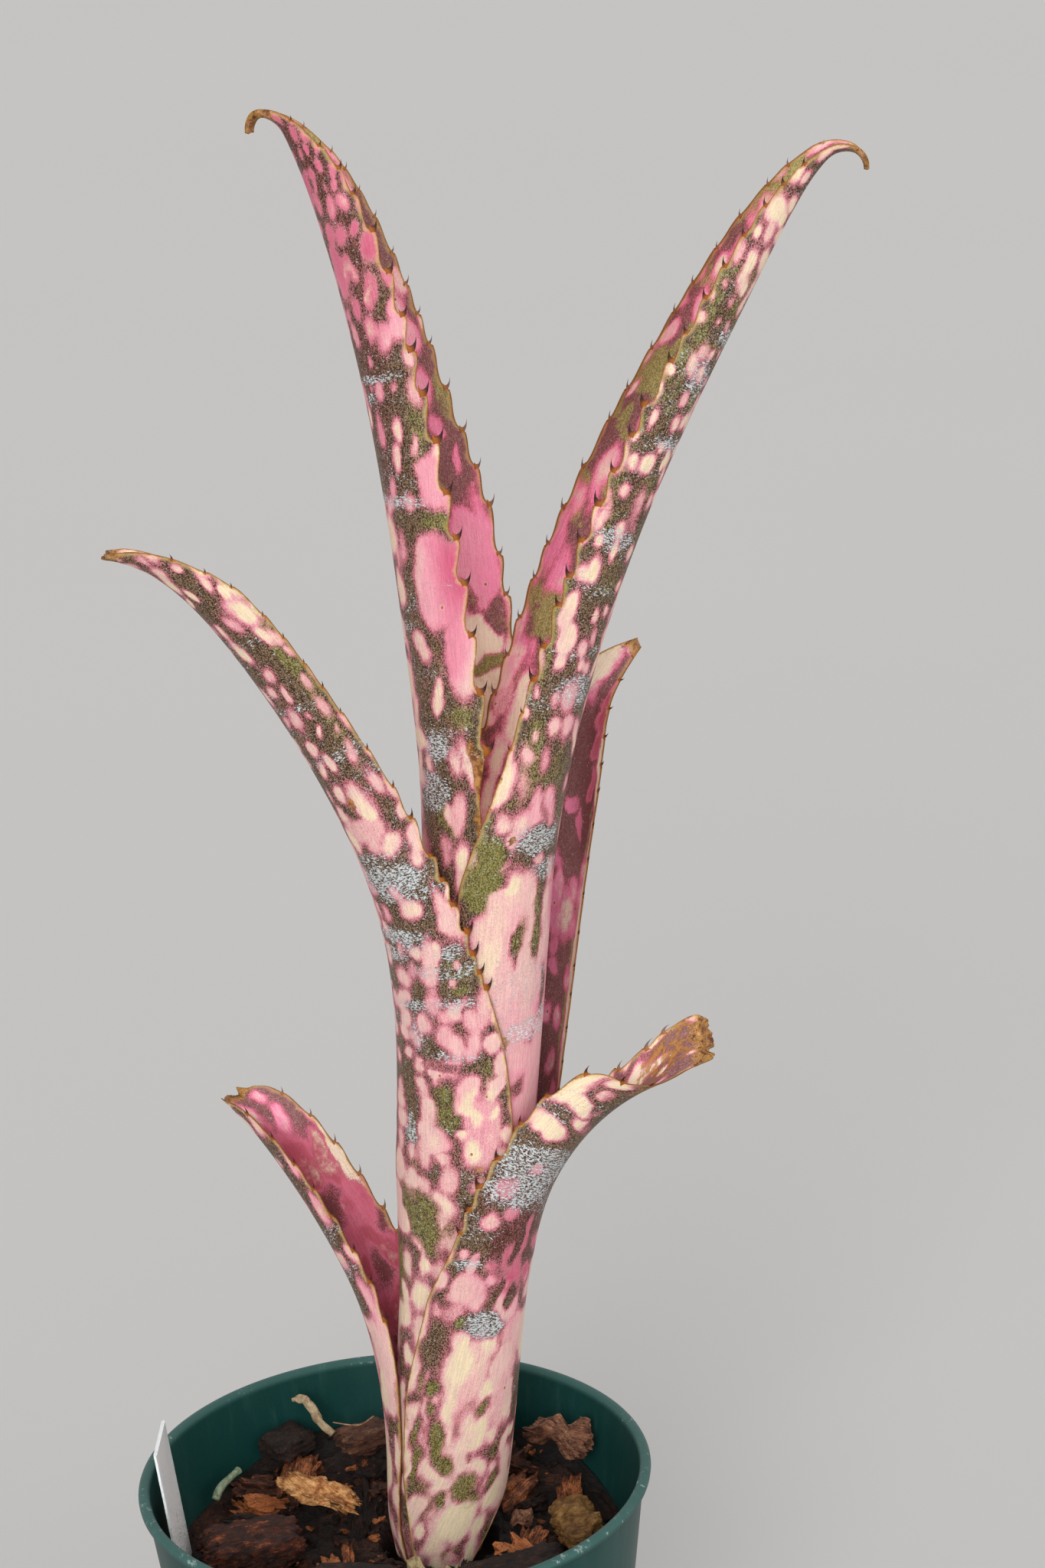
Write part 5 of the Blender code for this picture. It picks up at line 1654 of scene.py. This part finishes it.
def add_twig():
    """The short green twig lying on the mix."""
    low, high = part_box("green_twig")
    knots = [
        (low.x + 0.0009, low.y + 0.0010, low.z + 0.0010),
        (low.x + 0.0022, low.y + 0.0036, low.z + 0.0026),
        (high.x - 0.0022, high.y - 0.0026, high.z - 0.0014),
        (high.x - 0.0010, high.y - 0.0009, high.z - 0.0011),
    ]
    line = wobbly(smooth_path(knots, 50), 0.00012, 33)
    radii = 0.00085 + 0.00010 * np.sin(np.linspace(0, 1, len(line)) * 7)
    finish = husk_finish("green_twig", (0.09, 0.13, 0.07), (0.30, 0.36, 0.24), (0.05, 0.07, 0.03))
    return settle(add_piece("green_twig", *strand(line, radii), finish), "green_twig")


def add_dry_leaf():
    """A torn, curled scrap of the first leaf, standing at the foot of the plant."""
    low, high = (np.array(corner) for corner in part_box("dry_leaf_base"))
    steps = 70
    thickness = 0.00032
    curl = 1.15
    s = np.linspace(-1, 1, steps)[None]
    t = np.linspace(0, 1, steps)[:, None]
    tear = smooth_noise(stacked(s * 4, 3 + 0 * t, 0), 6)
    tall = np.clip(0.62 + 0.30 * tear + 0.35 * np.exp(-((s + 0.45) ** 2) / 0.06), 0.15, 1.05)
    wide = (high[0] - low[0]) / 2
    x = (low[0] + high[0]) / 2 + wide * np.sin(s * curl) / math.sin(curl)
    y = low[1] + 0.0012 + 0.0038 * (1 - np.cos(s * curl)) + 0.0016 * t * tall
    z = low[2] + (high[2] - low[2]) * t * tall
    front = stacked(x, y, z)
    crease = rough_noise(front * 520, 9, 3) * 0.0006
    front[..., 1] += crease
    front[..., 2] = np.minimum(front[..., 2] + 0.3 * crease, high[2])
    back = front + np.array([0, thickness, 0])
    points = np.vstack([front.reshape(-1, 3), back.reshape(-1, 3)])
    quads = grid_faces(steps, steps)
    faces = quads.tolist() + (quads[:, ::-1] + steps * steps).tolist() + rim_faces(steps, steps)
    finish = husk_finish("dry_leaf_base", (0.30, 0.20, 0.085), (0.62, 0.49, 0.26), (0.10, 0.055, 0.025))
    return settle(add_piece("dry_leaf_base", points, faces, finish), "dry_leaf_base")


def add_thread():
    """A dry, wiry thread hanging off the lowest sheath at the left."""
    start = np.array([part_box("leaf_low_left")[0].x + 0.030, 0.002, 0.1075])
    bends = np.array([(0, 0, 0), (-3.5, -1.2, -1.2), (-6.8, -2.0, -0.4), (-8.8, -2.0, 0.2)]) * MM
    line = wobbly(smooth_path(start + bends, 40), 0.00012, 3)
    points, faces = strand(line, np.linspace(0.00022, 0.00012, len(line)), 8)
    finish = husk_finish("dry_thread", (0.14, 0.06, 0.03), (0.36, 0.22, 0.13), (0.08, 0.04, 0.02))
    piece = add_piece("dry_thread", points, faces, finish)
    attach(piece, "root")
    return piece


def stem_finish():
    """The short woody stem under the leaves."""
    wood = Finish("stem_base", 0.8, 0.3)
    here = wood.where()
    rings = wood.noise(wood.stretched(here, (1, 1, 6)), 240, 3, 0.6)
    specks = wood.noise(here, 1300, 2)
    tone = wood.mix(rings.between(0.38, 0.62), (0.10, 0.055, 0.025), (0.34, 0.24, 0.13))
    tone = wood.mix(specks.between(0.44, 0.36), tone, (0.05, 0.025, 0.012))
    wood.raised(rings + specks * 0.4, 0.0004, 0.8)
    return wood.ends(colour=tone, roughness=rings * 0.2 + 0.65)


def label_finish():
    """White plastic gone slightly blue and chalky, with a little dirt low down."""
    plastic = Finish("plant_label", 0.38, 0.5)
    here = plastic.where()
    z = plastic.parts(here)[2]
    cloud = plastic.noise(here, 120, 3, 0.5)
    scratches = plastic.noise(plastic.stretched(here, (1, 1, 0.12)), 900, 2, 0.6)
    specks = plastic.noise(here, 1900, 2, 0.6)
    tone = plastic.mix(cloud.between(0.35, 0.65), (0.84, 0.89, 0.90), (0.93, 0.96, 0.97))
    tone = plastic.mix(scratches.between(0.60, 0.72) * 0.35, tone, (0.52, 0.56, 0.57))
    grime = (specks + z.between(0.100, 0.076) * 0.14).between(0.66, 0.74)
    tone = plastic.mix(grime * 0.7, tone, (0.20, 0.15, 0.11))
    plastic.raised(scratches + specks * 0.3, 0.00008, 0.5)
    return plastic.ends(colour=tone, roughness=cloud * 0.2 + 0.30)


def add_label():
    """The blank label: rounded edges, a tie slot and a nicked edge."""
    thick, wide, tall, tip = 0.0008, 0.016, 0.090, 0.012
    slot_wide, slot_tall, slot_drop = 0.0025, 0.006, 0.010
    sharp = 50
    block, faces = box_grid([1, 20, 200])
    a, b, c = block.T
    z = (c - 1) * tall / 2
    nick = rough_noise(stacked(z * 900, np.sign(b) * 3, 0), 15, 3) * 0.00028
    y = b * wide / 2 * np.clip((z + tall) / tip, 0.04, 1) + np.where(np.abs(b) > 0.97, nick, 0)
    x = a * thick / 2 * np.where(np.abs(b) > 0.98, 0.6, 1)
    # it leans on the pot's rim
    turn = rotation(math.radians(-3), math.radians(-6)).T
    top = np.array([-0.0488, 0.0, 0.1062])
    label = add_piece("plant_label", stacked(x, y, z) @ turn + top, faces, label_finish(), sharp=sharp)
    block, faces = box_grid([1, 12, 24])
    a, b, c = block.T
    hole = stacked(a * thick * 2, b * slot_wide / 2, c * slot_tall / 2 - slot_drop)
    cutter = add_piece("slot_cutter", hole @ turn + top, faces, label.data.materials[0])
    cut_out(label, [cutter], sharp)
    return settle(label, "plant_label")


# ---------------------------------------------------------------- stage


def floor_finish():
    """Pale, faintly clouded plaster."""
    look = settings("stage")
    plaster = Finish("floor", 0.8, 0.2)
    cloud = plaster.noise(plaster.where(), 3.0, 3)
    tone = plaster.mix(cloud, [0.97 * part for part in look.floor], look.floor)
    return plaster.ends(colour=tone)


def add_light(name, energy, heading, height, width):
    """A soft light that shines at the plant from a heading (0 is the front) and a height, in degrees."""
    light = bpy.data.lights.new(name, "SUN")
    light.energy = energy
    light.angle = math.radians(width)
    lamp = bpy.data.objects.new(name, light)
    bpy.context.scene.collection.objects.link(lamp)
    a, e = math.radians(heading), math.radians(height)
    away = Vector((math.sin(a) * math.cos(e), -math.cos(a) * math.cos(e), math.sin(e)))
    lamp.location = away * 2
    lamp.rotation_euler = away.to_track_quat("Z", "Y").to_euler()


def add_stage():
    """A pale floor, soft light from the front left and the camera."""
    look = settings("stage")
    reach = 12
    corners = [(-reach, -reach, 0), (reach, -reach, 0), (reach, reach, 0), (-reach, reach, 0)]
    floor = add_piece("floor", corners, [(0, 1, 2, 3)], floor_finish())
    add_light("key", look.key, -12, 26, 24)
    add_light("side", look.key * 0.30, 48, 24, 40)
    add_light("front", look.key * 0.34, 4, 18, 40)
    world = bpy.data.worlds.new("soft_room")
    world.use_nodes = True
    background = world.node_tree.nodes["Background"]
    background.inputs["Color"].default_value = (1.0, 0.99, 0.98, 1)
    background.inputs["Strength"].default_value = look.fill
    bpy.context.scene.world = world
    bpy.context.scene.view_settings.view_transform = "Standard"
    lens = bpy.data.cameras.new("camera")
    lens.lens = look.lens
    lens.sensor_width = 36
    lens.clip_end = 60
    camera = bpy.data.objects.new("camera", lens)
    bpy.context.scene.collection.objects.link(camera)
    ahead = Vector((0, math.cos(look.pitch), -math.sin(look.pitch)))
    right = Vector((1, 0, 0))
    up = right.cross(ahead)
    tipped = math.cos(look.roll) * right + math.sin(look.roll) * up
    above = math.cos(look.roll) * up - math.sin(look.roll) * right
    turn = Matrix((tipped, above, -ahead)).transposed().to_4x4()
    camera.matrix_world = Matrix.Translation(look.position) @ turn
    bpy.context.scene.camera = camera


# ---------------------------------------------------------------- operators and panel


class BILLBERGIA_OT_pot(Operator):
    """Builds the nursery pot"""

    bl_idname = "billbergia.pot"
    bl_label = "Pot"

    def execute(self, context):
        add_pot()
        return {"FINISHED"}


class BILLBERGIA_OT_mix(Operator):
    """Builds the bed of bark mix and the crumbs on it"""

    bl_idname = "billbergia.mix"
    bl_label = "Potting Mix"

    def execute(self, context):
        add_mix()
        scatter_crumbs()
        return {"FINISHED"}


class BILLBERGIA_OT_bark(Operator):
    """Builds the larger pieces of bark that lie on the mix"""

    bl_idname = "billbergia.bark"
    bl_label = "Bark"

    def execute(self, context):
        for seed, (name, (heading, kind)) in enumerate(BARK.items(), 1):
            add_bark(name, heading, kind, seed)
        return {"FINISHED"}


class BILLBERGIA_OT_leaves(Operator):
    """Builds the six spiny leaves"""

    bl_idname = "billbergia.leaves"
    bl_label = "Leaves"

    def execute(self, context):
        finish = leaf_finish()
        for leaf in LEAVES:
            add_leaf(leaf, finish)
        return {"FINISHED"}


class BILLBERGIA_OT_dry(Operator):
    """Builds the dry root, twig, leaf scrap and thread, and finishes the stem"""

    bl_idname = "billbergia.dry"
    bl_label = "Dry Pieces and Stem"

    def execute(self, context):
        add_dry_root()
        add_twig()
        add_dry_leaf()
        add_thread()
        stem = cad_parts["stem_base"].data.materials
        stem.clear()
        stem.append(stem_finish())
        return {"FINISHED"}


class BILLBERGIA_OT_label(Operator):
    """Builds the blank plant label"""

    bl_idname = "billbergia.label"
    bl_label = "Plant Label"

    def execute(self, context):
        add_label()
        return {"FINISHED"}


class BILLBERGIA_OT_stage(Operator):
    """Adds the floor, the lights and the camera"""

    bl_idname = "billbergia.stage"
    bl_label = "Stage"

    def execute(self, context):
        add_stage()
        return {"FINISHED"}


OPERATORS = (
    BILLBERGIA_OT_pot, BILLBERGIA_OT_mix, BILLBERGIA_OT_bark, BILLBERGIA_OT_leaves,
    BILLBERGIA_OT_dry, BILLBERGIA_OT_label, BILLBERGIA_OT_stage,
)


class BILLBERGIA_PT_build(Panel):
    """Lists the steps that build the plant, and its settings"""

    bl_idname = "BILLBERGIA_PT_build"
    bl_label = "Potted Billbergia"
    bl_space_type = "VIEW_3D"
    bl_region_type = "UI"
    bl_category = "Billbergia"

    def draw(self, context):
        for operator in OPERATORS:
            self.layout.operator(operator.bl_idname)
        for kind in SETTINGS:
            box = self.layout.box()
            box.label(text=kind.capitalize())
            group = settings(kind)
            for prop in group.bl_rna.properties:
                if prop.identifier not in ("rna_type", "name"):
                    box.prop(group, prop.identifier)


SETTINGS = {"leaf": LeafSettings, "pot": PotSettings, "mix": MixSettings, "stage": StageSettings}
CLASSES = (*SETTINGS.values(), *OPERATORS, BILLBERGIA_PT_build)


def register():
    for item in CLASSES:
        bpy.utils.register_class(item)
    for kind, group in SETTINGS.items():
        setattr(bpy.types.Scene, "billbergia_" + kind, PointerProperty(type=group))


def unregister():
    for kind in SETTINGS:
        delattr(bpy.types.Scene, "billbergia_" + kind)
    for item in reversed(CLASSES):
        bpy.utils.unregister_class(item)


def main():
    register()
    for operator in OPERATORS:
        getattr(bpy.ops.billbergia, operator.bl_idname.split(".")[1])()


if __name__ == "__main__":
    main()
